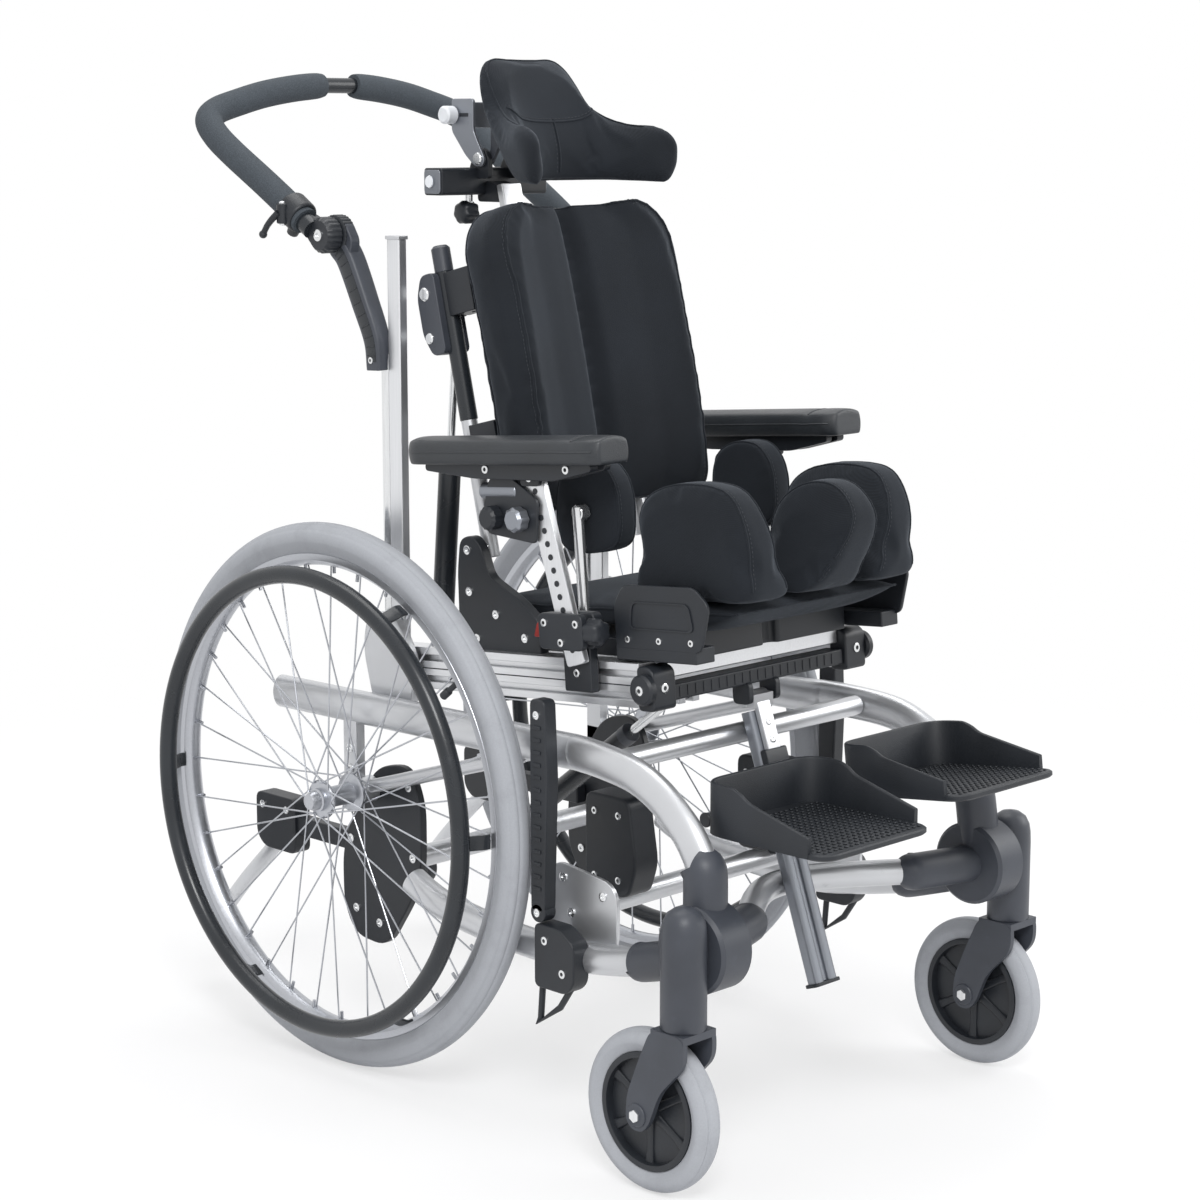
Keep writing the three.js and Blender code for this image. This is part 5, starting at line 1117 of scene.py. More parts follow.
# Seat cushions
padSet = {"seatHalf": 135, "seatFront": -494, "seatBack": -112, "seatLow": 66.6, "seatHigh": 100, "frontRise": 24}
thighOutline = [(-350, 94), (-346, 150), (-352, 196), (-385, 218), (-440, 222), (-480, 212), (-500, 180), (-503, 140),
                (-490, 94)]
pommelOutline = [(-430, 92), (-428, 150), (-440, 190), (-475, 212), (-515, 212), (-540, 192), (-545, 165),
                 (-520, 125), (-484, 92)]
hipOutline = [(-240, 150), (-233, 190), (-242, 228), (-270, 244), (-305, 242), (-326, 220), (-331, 185), (-322, 152),
              (-280, 142)]
backProfile = [(0, -71), (0.1, -89), (0.3, -97), (0.5, -103), (0.7, -114), (0.86, -125), (1, -108)]
backSet = {"half": 148, "low": 20, "high": 363, "rear": -50, "corner": 62, "edge": 10, "crown": 6}


def seatRule(a, b, c):
    p = padSet
    along = (b + 1) / 2
    y = lerp(p["seatFront"], p["seatBack"], along)
    x = a * p["seatHalf"] * (1 - 0.035 * abs(c) ** 3)
    rise = p["frontRise"] * (1 - inLimits(y, p["seatFront"], p["seatFront"] + 80)) ** 1.6
    low = p["seatLow"] + rise
    crown = 7 * math.cos(a * math.pi / 2) * math.sin(along * math.pi)
    high = p["seatHigh"] - 7 + crown * 0.9
    roll = 7 * (1 - c * c) - 5 if b < -0.99 else 0
    return x, y - roll, lerp(low, high, (c + 1) / 2)


def thighRule(s):
    def rule(x, y, z):
        inward = inLimits(136 - x, 0, 38)
        flare = 40 * (1 - inLimits(z, 97.4, 222)) ** 1.3
        return s * (x - inward * flare), y, max(z, 97.8)
    return rule


def hipRule(s):
    return lambda x, y, z: (s * x, y, z)


def pommelRule(x, y, z):
    return x * (1 + 1.2 * (1 - inLimits(z, 96.8, 214)) ** 1.5), y, max(z, 97.2)


def profileAt(share):
    for (s0, y0), (s1, y1) in zip(backProfile, backProfile[1:]):
        if share <= s1:
            return lerp(y0, y1, inLimits(share, s0, s1))
    return backProfile[-1][1]


def backRule(a, b, c):
    p = backSet
    z = lerp(p["low"], p["high"], (math.sin(c * math.pi / 2) + 1) / 2)
    over, under = max(0, z - (p["high"] - p["corner"])), max(0, p["low"] + p["corner"] / 2 - z)
    topIn = p["corner"] - math.sqrt(max(0, p["corner"] ** 2 - over ** 2))
    lowIn = p["corner"] / 2 - math.sqrt(max(0, (p["corner"] / 2) ** 2 - under ** 2))
    half = p["half"] - topIn - lowIn
    drawn = 1 - p["edge"] / p["half"] if b > 0.5 else 1
    front = profileAt(abs(a)) + p["crown"] * (1 - math.cos(c * math.pi / 2)) * 2
    return a * half * drawn, lerp(front, p["rear"], (b + 1) / 2), z


headSet = {"half": 104, "reach": 90, "lowY": -104, "highY": -49, "low": 972, "wingHigh": 1042, "high": 1114,
           "thick": 16, "wingThick": 13, "roll": 5, "endFrom": 0.84, "endLeft": 0.35, "edge": 0.45}
# from the middle to a wing's end: the lower edge out and ahead, then the upper edge out, ahead and up
headShares = [(0, 0, 0, 0, 1), (0.25, 0.044, 0.308, 0, 1), (0.442, 0.144, 0.5, 0.014, 0.958),
              (0.577, 0.278, 0.615, 0.055, 0.819), (0.673, 0.4, 0.673, 0.124, 0.611),
              (0.75, 0.522, 0.712, 0.241, 0.306), (0.827, 0.656, 0.76, 0.386, 0.111),
              (0.904, 0.789, 0.837, 0.579, 0.014), (0.962, 0.911, 0.923, 0.786, 0), (1, 1, 1, 1, 0)]


def headEdges():
    h = headSet
    rows = [(-1, row) for row in reversed(headShares[1:])] + [(1, row) for row in headShares]
    lower = [(s * row[0] * h["half"], h["lowY"] - row[1] * h["reach"], h["low"]) for s, row in rows]
    upper = [(s * row[2] * h["half"], lerp(h["highY"], h["lowY"] - h["reach"], row[3]),
              lerp(h["wingHigh"], h["high"], row[4])) for s, row in rows]
    return smoothPath(lower, 144), smoothPath(upper, 144)


headLower, headUpper = headEdges()


def headRule(a, b, c):
    h = headSet
    last = len(headLower) - 1
    spot = (a + 1) / 2 * last
    k = min(last - 1, int(spot))
    bottom, top = headLower[k].lerp(headLower[k + 1], spot - k), headUpper[k].lerp(headUpper[k + 1], spot - k)
    along = headLower[k + 1] - headLower[k] + headUpper[k + 1] - headUpper[k]
    end = inLimits(abs(a), h["endFrom"], 1)
    left = math.sqrt(1 - (1 - h["endLeft"] ** 2) * end ** 2)
    middle, rise = (bottom + top) / 2, (top - bottom) / 2
    out = rise.cross(along).normalized()
    drawn = 1 - h["roll"] / rise.length * b * b * c ** 6
    half = lerp(h["thick"], h["wingThick"], abs(a)) * left * (1 - (1 - h["edge"]) * c ** 4)
    return tuple(middle + rise * c * left * drawn + out * b * half)


# how each kind is softened: voxel, shrink and largest swelling in millimetres, smoothing steps and fill
padSizes = {"seat": (6, 3, 5, 5, 0.8), "upright": (4, 2.5, 4.5, 5, 0.85), "back": (5, 3, 5, 4, 0.7),
            "head": (3.5, 2.5, 4.5, 5, 0.85)}
steps = [k / 20 * 1.96 - 0.98 for k in range(21)]


def makePads():
    up = (0, 0, 1)
    seat = softForm("seatCushion", gridBox(24, 24, 6, seatRule), "seat", "seat_cushion", seatPlace, padSizes["seat"],
                    ((0, 0, 66.6), up))
    uprights = []  # outline, its rule, the pad, where its seams run and whether they close
    for tag, s in sides:
        for label, outline, x0, x1, roll, rule, rest, spots in (
                ("thigh", thighOutline, 98, 136, 12, thighRule(s), ((0, 0, 98), up), (132, 102)),
                ("hip", hipOutline, 103, 139, 10, hipRule(s), None, (135, 107))):
            pad = softForm(f"{label}Pad_{tag}", rolledPad(outline, x0, x1, roll, rule), "seat", f"{label}_pad_{tag}",
                           seatPlace, padSizes["upright"], rest)
            uprights.append((f"{label}Seams_{tag}", outline, rule, pad, spots, not rest))
    pommel = softForm("pommelPad", rolledPad(pommelOutline, -20, 20, 11, pommelRule), "seat", "pommel", seatPlace,
                      padSizes["upright"], ((0, 0, 97.6), up))
    back = softForm("backCushion", gridBox(56, 6, 56, backRule), "back", "back_cushion", backPlace, padSizes["back"],
                    ((0, -50, 0), (0, -1, 0)))
    head = softForm("headPad", gridBox(72, 8, 24, headRule), "head", "head_rest", rowPlace, padSizes["head"])
    blowUp()
    print("pads blown up")

    sewn("backSeams", back, [[backRule(a, -1, c) for c in steps] for a in (-0.87, 0.87)], backPlace, "back", 1.4,
         stitch=4)
    sewn("backEdgeSeams", back, [[backRule(a, 0.7, c) for c in steps] for a in (-1, 1)], backPlace, "back", 1.3)
    sewn("backTopSeams", back, [[backRule(a, -0.95, 1) for a in steps]], backPlace, "back", 1.2)
    for name, outline, rule, pad, spots, closed in uprights:
        ring = closedCurve(outline, 48)
        routes = [[rule(x, y, z) for y, z in [*ring, ring[0]] if z > 108 or closed] for x in spots]
        sewn(name, pad, routes, seatPlace, "seat", 1.1, 0.2, stitch=3.5)
    ring = [p for p in closedCurve(pommelOutline, 48) if p[1] > 106]
    ring = sorted(ring, key=lambda p: math.atan2(p[1] - 130, p[0] + 480))
    sewn("pommelSeams", pommel, [[pommelRule(x, y, z) for y, z in ring] for x in (-17, 17)], seatPlace, "seat", 1.1,
         0.2, stitch=3.5)
    sewn("seatSeams", seat, [*[[seatRule(a, -1, level) for a in steps] for level in (0.8, -0.7)],
                             *[[seatRule(edge, b, 0.75) for b in steps] for edge in (-1, 1)]], seatPlace, "seat", 1.2)
    crease = []
    for k in range(-16, 17):
        low, top = headRule(k / 20, -1, -1)[2], headRule(k / 20, -1, 1)[2]
        height = 2 * (1037 + 50 * (k / 20) ** 2 - low) / (top - low) - 1
        if height < 0.97:
            crease.append(headRule(k / 20, -1, height))
    middle = [headRule(0.03, -1, c / 10) for c in (-9, -7, -5, -3, -0.9)]
    piping = [headRule(k / 20 - 1, -0.7, 1) for k in range(3, 38)]
    sewn("headSeams", head, [crease, middle], rowPlace, "head", 1.3, 0.1, stitch=3.5)
    sewn("headPiping", head, [piping], rowPlace, "head", 1.1)


makePads()
print("pads sewn")


# Armrests and their clamps: plates are outline, corner radius and steps, with the x spans beside them
armSet = {
    "leanY": -305, "leanZ": 36, "lean": 14, "rise": 196, "padX": 183, "padHalf": 28, "padY": (-375, -87),
    "padZ": (243, 268), "notch": -0.74,
    "tray": ([(-355, 236), (-355, 244), (-105, 244), (-105, 236), (-180, 228), (-300, 226)], 6, 4),
    "lug": ([(-244, 220), (-244, 246), (-272, 246), (-272, 220)], 5, 4),
    "padScrews": ((191.4, -258, 229), (172.6, -258, 229, -1), (198.2, -200, 238), (198.2, -320, 238)),
    "rail": ((183, -236, 214), (183, -180, 214), 9, 36), "railFoot": ((183, -208, 214), (183, -208, 232), 6, 24),
    "catch": (186.8, 190.6, [(-262, 160), (-268, 205), (-230, 229), (-196, 229), (-184, 196), (-188, 170)], 8, 5),
    "catchRing": [(0.1, -8), (9, -8), (12.5, -6), (12.5, 5), (9.5, 8), (0.1, 8)],
    "clamp": ([(-262, 52), (-262, 90), (-326, 90), (-326, 52)], 8, 5),
    "clampBoxes": ((175, 188, -279, -262.4, 53, 89), (163.7, 176, -316, -276, 6, 54)),
    "knob": [(0.1, -19), (9, -19), (12, -17.5), (14, -14), (14, 0), (8, 1.5), (0.1, 1.5)],
    "knobAt": (182, -324.5, 71),
    "hipRod": ((150, -285, 62), (150, -285, 195), 6, 24), "hipEye": (139.5, 153, -285, 189, 8.4, 28),
    "hipFoot": (144, 165, -291, -279, 60, 72),
    "clampScrews": ((196, -272, 80), (196, -318, 80), (196, -295, 60), (176.2, -296, 26)),
    "red": (164.2, 172, [(-256, 60), (-250, 74), (-236, 76), (-230, 60)], 3, 3)}


def armPadRule(s):
    a = armSet

    def rule(u, v, w):
        end = math.sqrt(max(0, 1 - inLimits(abs(v), 0.86, 1.08) ** 2))
        notch = 1.2 * math.exp(-((v - a["notch"]) / 0.03) ** 2) if w > -0.5 else 0
        crown = 4 * (1 - u * u) if w > 0 else 0
        return (s * a["padX"] + u * a["padHalf"] * (1 - 0.12 * w * w) * end, lerp(*a["padY"], (v + 1) / 2),
                lerp(*a["padZ"], (w + 1) / 2) + crown - (3 * (1 - end) if w > 0 else 0) - notch)
    return rule


def makeArms():
    a = armSet
    length = a["rise"] / math.cos(math.radians(a["lean"]))
    wall = rounded([(-13, 0), (-13, length), (13, length), (13, 0)], 4, 4)

    def leaned(shape):
        return moved(turnedX(shape, -a["lean"]), 0, a["leanY"], a["leanZ"])
    for m in bothSides("arm_", seatPlace):
        s = m.s
        upright = join(plate(wall, s * 178, s * 179.4), plate(wall, s * 184.6, s * 186),
                       m.box(179, 185, -13, -3.5, 2, length - 2), m.box(179, 185, 3.5, 13, 2, length - 2))
        m.piece("armUpright", leaned(upright), "brightUp", "arm_upright", 0.5, "arm_post_")
        m.piece("uprightMarks", join(*[leaned(m.across(185.9, 186.6, 0, z, 3.2, 20)) for z in range(16, 190, 14)]),
                "plastic", body="arm_post_")
        rule = armPadRule(s)
        pad = meshObject(f"armPad_{m.tag}", gridBox(14, 90, 6, rule), seatPlace)
        finer(pad)
        relaxed(pad, 5)
        smoothed(pad.data)
        dress(pad, "vinyl", m.body, [f"arm_pad_{m.tag}"])
        along = [k / 24 * 1.9 - 0.95 for k in range(25)]
        seams = [[rule(u, v, 0.1) for v in along] for u in (-1, 1)]
        sewn(f"armSeams_{m.tag}", pad, [*seams, [rule(u, a["notch"], 1) for u in (-0.95, -0.5, 0, 0.5, 0.95)]],
             seatPlace, m.body, 0.9, 0.1, "vinyl")
        m.piece("armTray", m.plates(a["tray"], (168, 177.6), (186.4, 198)), "plastic", bevel=1.2)
        m.piece("armLug", m.plates(a["lug"], (172.8, 177.7), (186.3, 191.2)), "plastic", bevel=0.8)
        m.screws("armScrews", a["padScrews"], 4.5, 2.2)
        m.piece("armRail", join(m.rod(*a["rail"], lip=1.5), m.rod(*a["railFoot"])), "post")
        m.piece("armCatch", m.plate(*a["catch"]), "plastic", bevel=1.2)
        ring = [(r, h * s) for r, h in a["catchRing"]]
        m.piece("armCatchKnob", lobed(ring, s * 197.5, -242, 186, 8, 0.05), "post")
        m.piece("armCatchWheel", lobed(ring, s * 197.5, -203, 187, 14, 0.03), "plastic")
        clamp = join(m.plates(a["clamp"], (163.6, 177.4), (186.6, 195.8)), *[m.box(*row) for row in a["clampBoxes"]])
        m.piece("armClamp", clamp, "plastic", "arm_clamp", 2, "seat")
        points, faces = lathe(a["knob"], 0, 0, 0, 40)
        out, back, up = a["knobAt"]
        knob = []
        for x, y, z in points:  # six lobes, turned to point along Y
            swell = 1 + 0.08 * math.cos(6 * math.atan2(y, z))
            knob.append((y * swell * 0.93 + s * out, x + back, z * swell * 0.93 + up))
        m.piece("armKnob", (knob, faces), "plastic", body="seat")
        m.piece("hipRod", join(m.rod(*a["hipRod"]), m.across(*a["hipEye"], lip=1), m.box(*a["hipFoot"])), "chrome",
                body="seat")
        m.screws("clampScrews", a["clampScrews"], 4.2, 2.2, "seat")
        m.piece("redCatch", m.plate(*a["red"]), "red", bevel=1, body="seat")


makeArms()
print("arms made")


# Backrest frame and headrest mount
backParts = {
    "tubeX": 118, "levels": ((92, 134), (252, 302)),
    "clamp": (99.4, 136.6, [(-1, 214), (-1, 303), (20, 303), (31, 280), (31, 238), (20, 214)], 8, 5),
    "springClamp": (-95.6, -105.2, -1, 34, 253, 281),
    "bolts": ((97, 139, 17, 282, 7.5, 32, 1.5), (97, 139, 20, 234, 6, 32, 1.2)),
    "stem": (-14.8, 14.8, -4.5, 5.2, 214, 398), "bar": ([(-10, 960), (-10, 990), (20, 990), (20, 960)], 4, 5),
    "lug": (20.2, 26.8, [(-28, 978), (-28, 1000), (-20, 1011.5), (-10, 1011.5), (4, 992), (4, 978)], 6, 5),
    "bridge": ([(-37.6, 952), (-37.6, 968), (-14, 975), (4, 975), (4, 952)], 5, 4),
    "barCap": (79.8, 82, [(-8, 962), (-8, 988), (18, 988), (18, 962)], 4, 5),
    "barPin": (81.8, 84, 8, 975, 7.5, 32, 1.2), "pivot": (26.6, 34.5, -16, 1000, 7, 32, 1.4),
    "arm": ([(-26, 1000), (-22, 991), (-10, 991), (6, 1004), (28, 1030), (28, 1066), (-8, 1066), (-8, 1030)], 5, 5),
    "armBlock": (-28, 28, -6, 26, 1034, 1062), "end": (31.2, 48, 24, 1048, 10, 36, 2.4),
    "slot": (31.3, 31.8, 0, 14, 1046, 1050), "knobAt": (-22, 10, 940),
    "knob": [(0.1, -15), (8, -15), (11, -13), (12.5, -10), (12.5, 4), (7, 6), (0.1, 6)],
    "spine": ([(-9, 992.5), (-23, 992.5), (-37, 1014), (-66, 1033), (-46, 1085), (-36, 1094), (-23, 1062),
               (-23, 1010)], 5, 4),
    "spineBlock": (-17, 17, -60, -40, 1036, 1078),
    "spineCap": ([(-40, 1066), (-40, 1092), (-14, 1092), (-14, 1066)], 4, 4)}


def makeBack():
    b = backParts
    both = bothSides("back")
    x = b["tubeX"]

    def made(name, shapes, finish, body="back", bevel=0, nodes=(), place=backPlace):
        piece(name, join(*shapes), finish, body, nodes, place, bevel)

    def posts(low, high, radius, turns, lip):
        return [m.rod((x, 0, low), (x, 0, high), radius, turns, lip=lip) for m in both]

    def pins(values):
        *sizes, lip = values
        return [m.across(*sizes, lip=lip) for m in both]
    shells = []
    for z0, z1 in b["levels"]:
        shells.append(box(-x, x, -49.4, -45, z0, z1))
        shells += [box(-x + 2, x - 2, -46, -30, z, z + 3) for z in (z0, z1 - 3)]
        shells += [m.box(96, 126, -46, -5.5, z0 + 1, z1 - 1) for m in both]
    made("backFrame", posts(-12, 330, 9, 32, 1), "silver", nodes=["back_frame"])
    made("backPlates", shells, "plastic", bevel=1.2)
    made("backClamps", [*[m.plate(*b["clamp"]) for m in both], box(*b["springClamp"])], "casting", bevel=1.6)
    made("backSleeves", posts(139, 322, 9.9, 36, 1.2), "ring")
    made("backTubeCaps", posts(300, 331.5, 10.4, 32, 3), "casting")
    made("backClampBolts", [pin for row in b["bolts"] for pin in pins(row)], "chrome")
    screws("backScrews", [((s * 101, -5.2, z), (0, 1, 0)) for _, s in sides for z in (103, 123)]
           + [((u, -44.8, z), (0, 1, 0)) for u in (-60, -20, 20, 60) for z in (113, 277)], "back", 4, 2, backPlace)
    made("clampRidges", [m.box(104, 132, 30.5, 32, z, z + 2.2) for m in both for z in range(246, 274, 5)], "plastic",
         bevel=0.5)
    made("headStem", [box(*b["stem"])], "bright", "head_post", 1.4, ["head_mount"])
    # black discs painted on the stem as the shade inside its holes; the holes are not cut
    made("headStemHoles", [rod((0, 5.1, z), (0, 5.6, z), 3, 20) for z in range(226, 250, 10)], "plastic", "head_post")
    arm, spine, knob = rounded(*b["arm"]), rounded(*b["spine"]), b["knobAt"]
    for name, shapes, finish, body, bevel in (
            ("headBar", [plate(rounded(*b["bar"]), -80, 80), plate(rounded(*b["bridge"]), -14.6, 14.6),
                         *[m.plate(*b["lug"]) for m in both]], "plastic", "head_post", 1),
            ("headBarCaps", [m.plate(*b["barCap"]) for m in both], "post", "head_post", 0.6),
            ("headBarPins", pins(b["barPin"]), "white", "head_post", 0),
            ("headPivots", pins(b["pivot"]), "chrome", "head_post", 0),
            ("headBracket", [plate(arm, -27.2, -31.4), plate(arm, 27.2, 31.4), box(*b["armBlock"])], "post", "head",
             1.2),
            ("bracketEnds", pins(b["end"]), "white", "head", 0),
            # thin black strips painted on the bracket as the shade inside its slots; the slots are not cut
            ("bracketSlots", [m.box(*b["slot"]) for m in both], "plastic", "head", 0),
            ("headKnob", [lobed(b["knob"], *knob, 7, 0.07)], "plastic", "head_post", 0),
            ("headKnobPin", [rod(knob, (-22, 10, 962), 4.5, 20)], "chrome", "head_post", 0),
            ("headPlate", [plate(spine, -19.4, -14.6), plate(spine, 14.6, 19.4), box(*b["spineBlock"])], "casting",
             "head", 1),
            ("headPlatePin", [across(-21, 21, -34, 1064, 5.5, 28, lip=1)], "chrome", "head", 0),
            ("headPlateCap", [plate(rounded(*b["spineCap"]), -19, 19), across(-26, -19, -24, 1079, 8, 28, lip=1.5)],
             "post", "head", 1.2)):
        made(name, shapes, finish, body, bevel, place=rowPlace)


makeBack()
print("backrest made")


# Push handle
grip = {
    "joint": (60, 918), "foam": 15.5, "slider": ((156, -2.3, 500), (156, -2.3, 790), 7, 32), "armBar": (11, 13, 5, 5),
    "panelBar": (0.9, 7.5, 0.7, 2),
    "teeth": [(0.1, -8.3), (19, -8.3), (21.6, -6.5), (21.6, 6.5), (19, 8.3), (0.1, 8.3)],
    "shield": (164, 177, [(38, 888), (30, 912), (44, 934), (66, 936), (80, 916), (66, 896)], 8, 5),
    "armScrews": ((174.2, 4.5, 783), (152, 4.5, 783, -1)),
    "boss": [(0.1, -9.6), (17, -9.6), (19.6, -8), (19.6, 5), (16, 9.6), (0.1, 9.6)],
    "web": (181, 199, [(58, 900), (58, 934), (74, 936), (88, 942), (90, 926), (76, 908)], 7, 5),
    "collar": ([(13.2, -13), (17.5, -13), (19, -10.5), (19, 10.5), (17.5, 13), (13.2, 13)], 1.5, 3),
    "collarAt": (-196.1, 101.2, 941.9), "collarWay": (0, 0.85, 0.527),
    "lever": [(-219.7, 104, 942), (-223, 112, 934), (-224, 119, 927), (-224, 126, 918)], "leverBar": (4, 3.4, 24),
    "ball": 4.6}
armRoute = [(163, 4, 772), (164, 6, 805), (166, 22, 845), (167, 44, 890), (168, 58, 906)]
gripRoute = [(196, 74, 924), (197, 100, 941), (199, 150, 972), (203, 205, 1006), (204, 234, 1026), (198, 254, 1042),
             (180, 262, 1053), (150, 264, 1062), (110, 264, 1072), (66, 264, 1079), (24, 264, 1083)]


def makeHandle():
    g = grip
    for m in bothSides("handle_slider"):
        s = m.s
        m.piece("handleSlider", m.rod(*g["slider"], lip=1), "chrome", "handle_arm")
        path = smoothPath(mirrorX(armRoute, s), 40)
        growth = [0.9 + 0.16 * math.sin(min(1, k / (len(path) - 1)) * math.pi / 2) for k in range(len(path))]
        m.piece("handleArm", sweep(path, bar(*g["armBar"]), scale=growth), "casting", bevel=0.8)
        inset = [p + Vector((s * 10.6 * growth[k], 0, 0)) for k, p in enumerate(path)][3:-4]
        m.piece("armPanel", sweep(inset, bar(*g["panelBar"])), "ring")
        ribs = []
        for k in range(5, len(path) - 5, 3):
            p = path[k] + Vector((s * 11.3 * growth[k], 0, 0))
            way = (path[k + 1] - path[k - 1]).normalized()
            over = Vector((0, -way.z, way.y))
            ribs.append(rod(p - over * 6.4, p + over * 6.4, 0.9, 10))
        m.piece("armRibs", join(*ribs), "plastic")
        m.piece("armJoint", lobed(g["teeth"], s * 171.4, *g["joint"], 28, 0.018, 168), "plastic")
        m.piece("armShield", m.plate(*g["shield"]), "casting", bevel=1.6)
        m.screws("armScrews", g["armScrews"], 3.6, 2)
        path = smoothPath(mirrorX(gripRoute, s), 90)
        dent = [1 - 0.16 * math.exp(-k / 1.6) - 0.12 * math.exp(-(len(path) - 1 - k) / 1.4) for k in range(len(path))]
        start, hint = 0 if s > 0 else 5, (0.2 * s, 0.5, -1)
        piece(f"handleFoam_{m.tag}", sweep(path[start:], circle(g["foam"], sides=40), hint, scale=dent[start:]),
              "foam", "handle", ["push_handle"] if s > 0 else [])
        m.piece("handleNeck", sweep(path[:start + 10], circle(11.5, sides=32), hint), "ring", body="handle")
        m.piece("handleBoss", lobed([(r, h * s) for r, h in g["boss"]], s * 190.1, *g["joint"], 20, 0.02, 160),
                "plastic", body="handle")
        m.piece("handleWeb", m.plate(*g["web"]), "plastic", bevel=2, body="handle")
        m.screws("bossScrew", [(199.8, *g["joint"])], 6.5, 3, "handle")
    piece("handleCore", sweep([(x, 264, 1083) for x in (-30, 0, 30)], circle(9, sides=32), (0, 0, 1)), "ring",
          "handle")
    way, middle = Vector(g["collarWay"]), Vector(g["collarAt"])
    side = sideways(way, (1, 0, 0))
    over = way.cross(side)
    points, faces = lathe(rounded(*g["collar"]), 0, 0, 0, 72)
    piece("leverCollar", ([middle + way * x + side * y + over * z for x, y, z in points], faces), "plastic", "handle")
    down = -over if over.z > 0 else over
    piece("leverPerch", join(rod(middle + down * 12 - way * 6, middle + down * 25 - way * 5, 8, 24, 6.5, lip=1),
                             rod((-214, 104, 952), (-214, 104, 930), 6.5, 24, lip=1.2)), "plastic", "handle")
    piece("leverPerchScrew", rod((-214, 104, 928), (-214, 104, 954.5), 3.4, 24, lip=0.8), "chrome", "handle")
    route = smoothPath(g["lever"], 36)
    last = len(route) - 1
    widths = [min(1.15, 1.1 - 0.25 * k / last + 0.35 * math.exp(-(last - k) / 2.0)) for k in range(last + 1)]
    ball = lathe([(g["ball"] * math.sin(math.pi * k / 12) + 0.01, -g["ball"] * math.cos(math.pi * k / 12))
                  for k in range(13)], *route[-1], 28)
    piece("handLever", join(sweep(route, circle(*g["leverBar"]), scale=widths), ball), "plastic", "hand_lever",
          ["hand_lever"])


makeHandle()
print("handle made")


# Leg rest: link, slotted post and the cross bar. Its parts lean with the post from a height of their own
legSet = {
    "y": -404, "slope": 0.3536, "lowY": -505, "lowZ": 152, "highZ": 428, "railBar": (6.7, 7.4, 4.5, 6),
    "capBar": (20, 9, 5, 5), "clampZ": 346, "clamp": ([(-22, -10), (22, -10), (22, 12), (-22, 12)], 5, 5),
    "bar": (-166, 166, -488, 354, 7, 36), "barCap": (163, 166.2, -488, 354, 7.6, 32), "linkZ": (365, 436),
    "front": -7.8, "barrel": (-17.2, 17.2, -404, 441, 9, 40),
    "screws": ((-9, -15, 378), (9, -15, 378), (0, -14.6, 401), (0, -14.6, 419))}


def postY(z):
    return legSet["lowY"] + (z - legSet["lowZ"]) * legSet["slope"]


def makeLeg():
    g = legSet
    lean = math.degrees(math.atan(g["slope"]))
    grow = 1 / math.cos(math.radians(lean))
    low, clampZ, front, (linkLow, linkHigh) = g["lowZ"], g["clampZ"], g["front"], g["linkZ"]
    length, linkLength = (g["highZ"] - low) * grow, (linkHigh - linkLow) * grow

    def leaned(name, z, shape, finish, body, nodes=(), bevel=0):
        piece(name, moved(turnedX(shape, -lean), 0, postY(z), z), finish, body, nodes, bevel=bevel)
    rails = [sweep([(s * 10.2, 0, 0), (s * 10.2, 0, length)], bar(*g["railBar"])) for _, s in sides]
    leaned("footPost", low, join(*rails, box(-6, 6, -3.5, 3.5, 1, length - 1)), "post", "foot_bar", ["foot_post"])
    leaned("footPostCap", low, sweep([(0, 0, -3.2), (0, 0, 0.6)], bar(*g["capBar"])), "plastic", "foot_bar",
           bevel=0.8)
    leaned("footClamp", clampZ, sweep([(0, 0, 0), (0, 0, 17)], rounded(*g["clamp"])), "plastic", "foot_bar",
           bevel=1.4)
    screws("footClampScrews", [((s * 22.3, postY(clampZ + 8) + 2, clampZ + 8), (s, 0, 0)) for _, s in sides],
           "foot_bar", 4, 2.4)
    piece("footBar", across(*g["bar"], lip=1.2), "post", "foot_bar")
    piece("footBarCaps", join(*[m.across(*g["barCap"], lip=1) for m in bothSides("foot_bar")]), "plastic", "foot_bar")
    link = rounded([(front, 0), (front, linkLength), (front - 6.6, linkLength), (front - 6.6, 0)], 2, 3)
    leaned("legLink", linkLow, plate(link, -10, 10), "silver", "leg", ["leg_link"], 1.2)
    shoe = rounded([(front + 0.6, 0), (front + 0.6, 24), (front - 8, 24), (front - 8, 0)], 3, 3)
    leaned("legLinkShoe", linkLow, plate(shoe, -16.8, 16.8), "plastic", "leg", bevel=1.2)
    piece("legBarrel", join(across(*g["barrel"], lip=1), box(-15.5, 15.5, postY(linkHigh) + front - 6, g["y"], 434,
                                                             448)), "silver", "leg", bevel=1)
    screws("legScrews", [((x, postY(z) + y, z), (0, -1, 0.38)) for x, y, z in g["screws"]], "leg", 4.2, 2.6)


makeLeg()
print("leg rest made")


# Foot plates: thin cups with a high heel wall, a studded sole and ribs below
cup = {
    "inner": 22, "outer": 190, "rear": -501, "front": -665, "low": 347, "floor": 7, "wall": 6, "heel": 34, "toe": 22,
    "barY": -488, "barZ": 354, "raise": {"l": 7, "r": 0},
    "studs": {"Wide": 0.144, "Long": 0.132, "Columns": 19, "Rows": 18}, "studsAt": (106, -588),
    "lug": ([(-495.3, 347.5), (-495.3, 361), (-506, 361), (-506, 347.5)], 2, 3)}


def cupHeight(y):
    t = (cup["rear"] - y) / (cup["rear"] - cup["front"])
    shoulder = inLimits(t, 0.24, 0.42)
    shoulder = shoulder * shoulder * (3 - 2 * shoulder)
    return max(6.5, 54 - 9 * shoulder - 27 * inLimits(t, 0.34, 0.95) - 11.5 * inLimits(t, 0.93, 1))


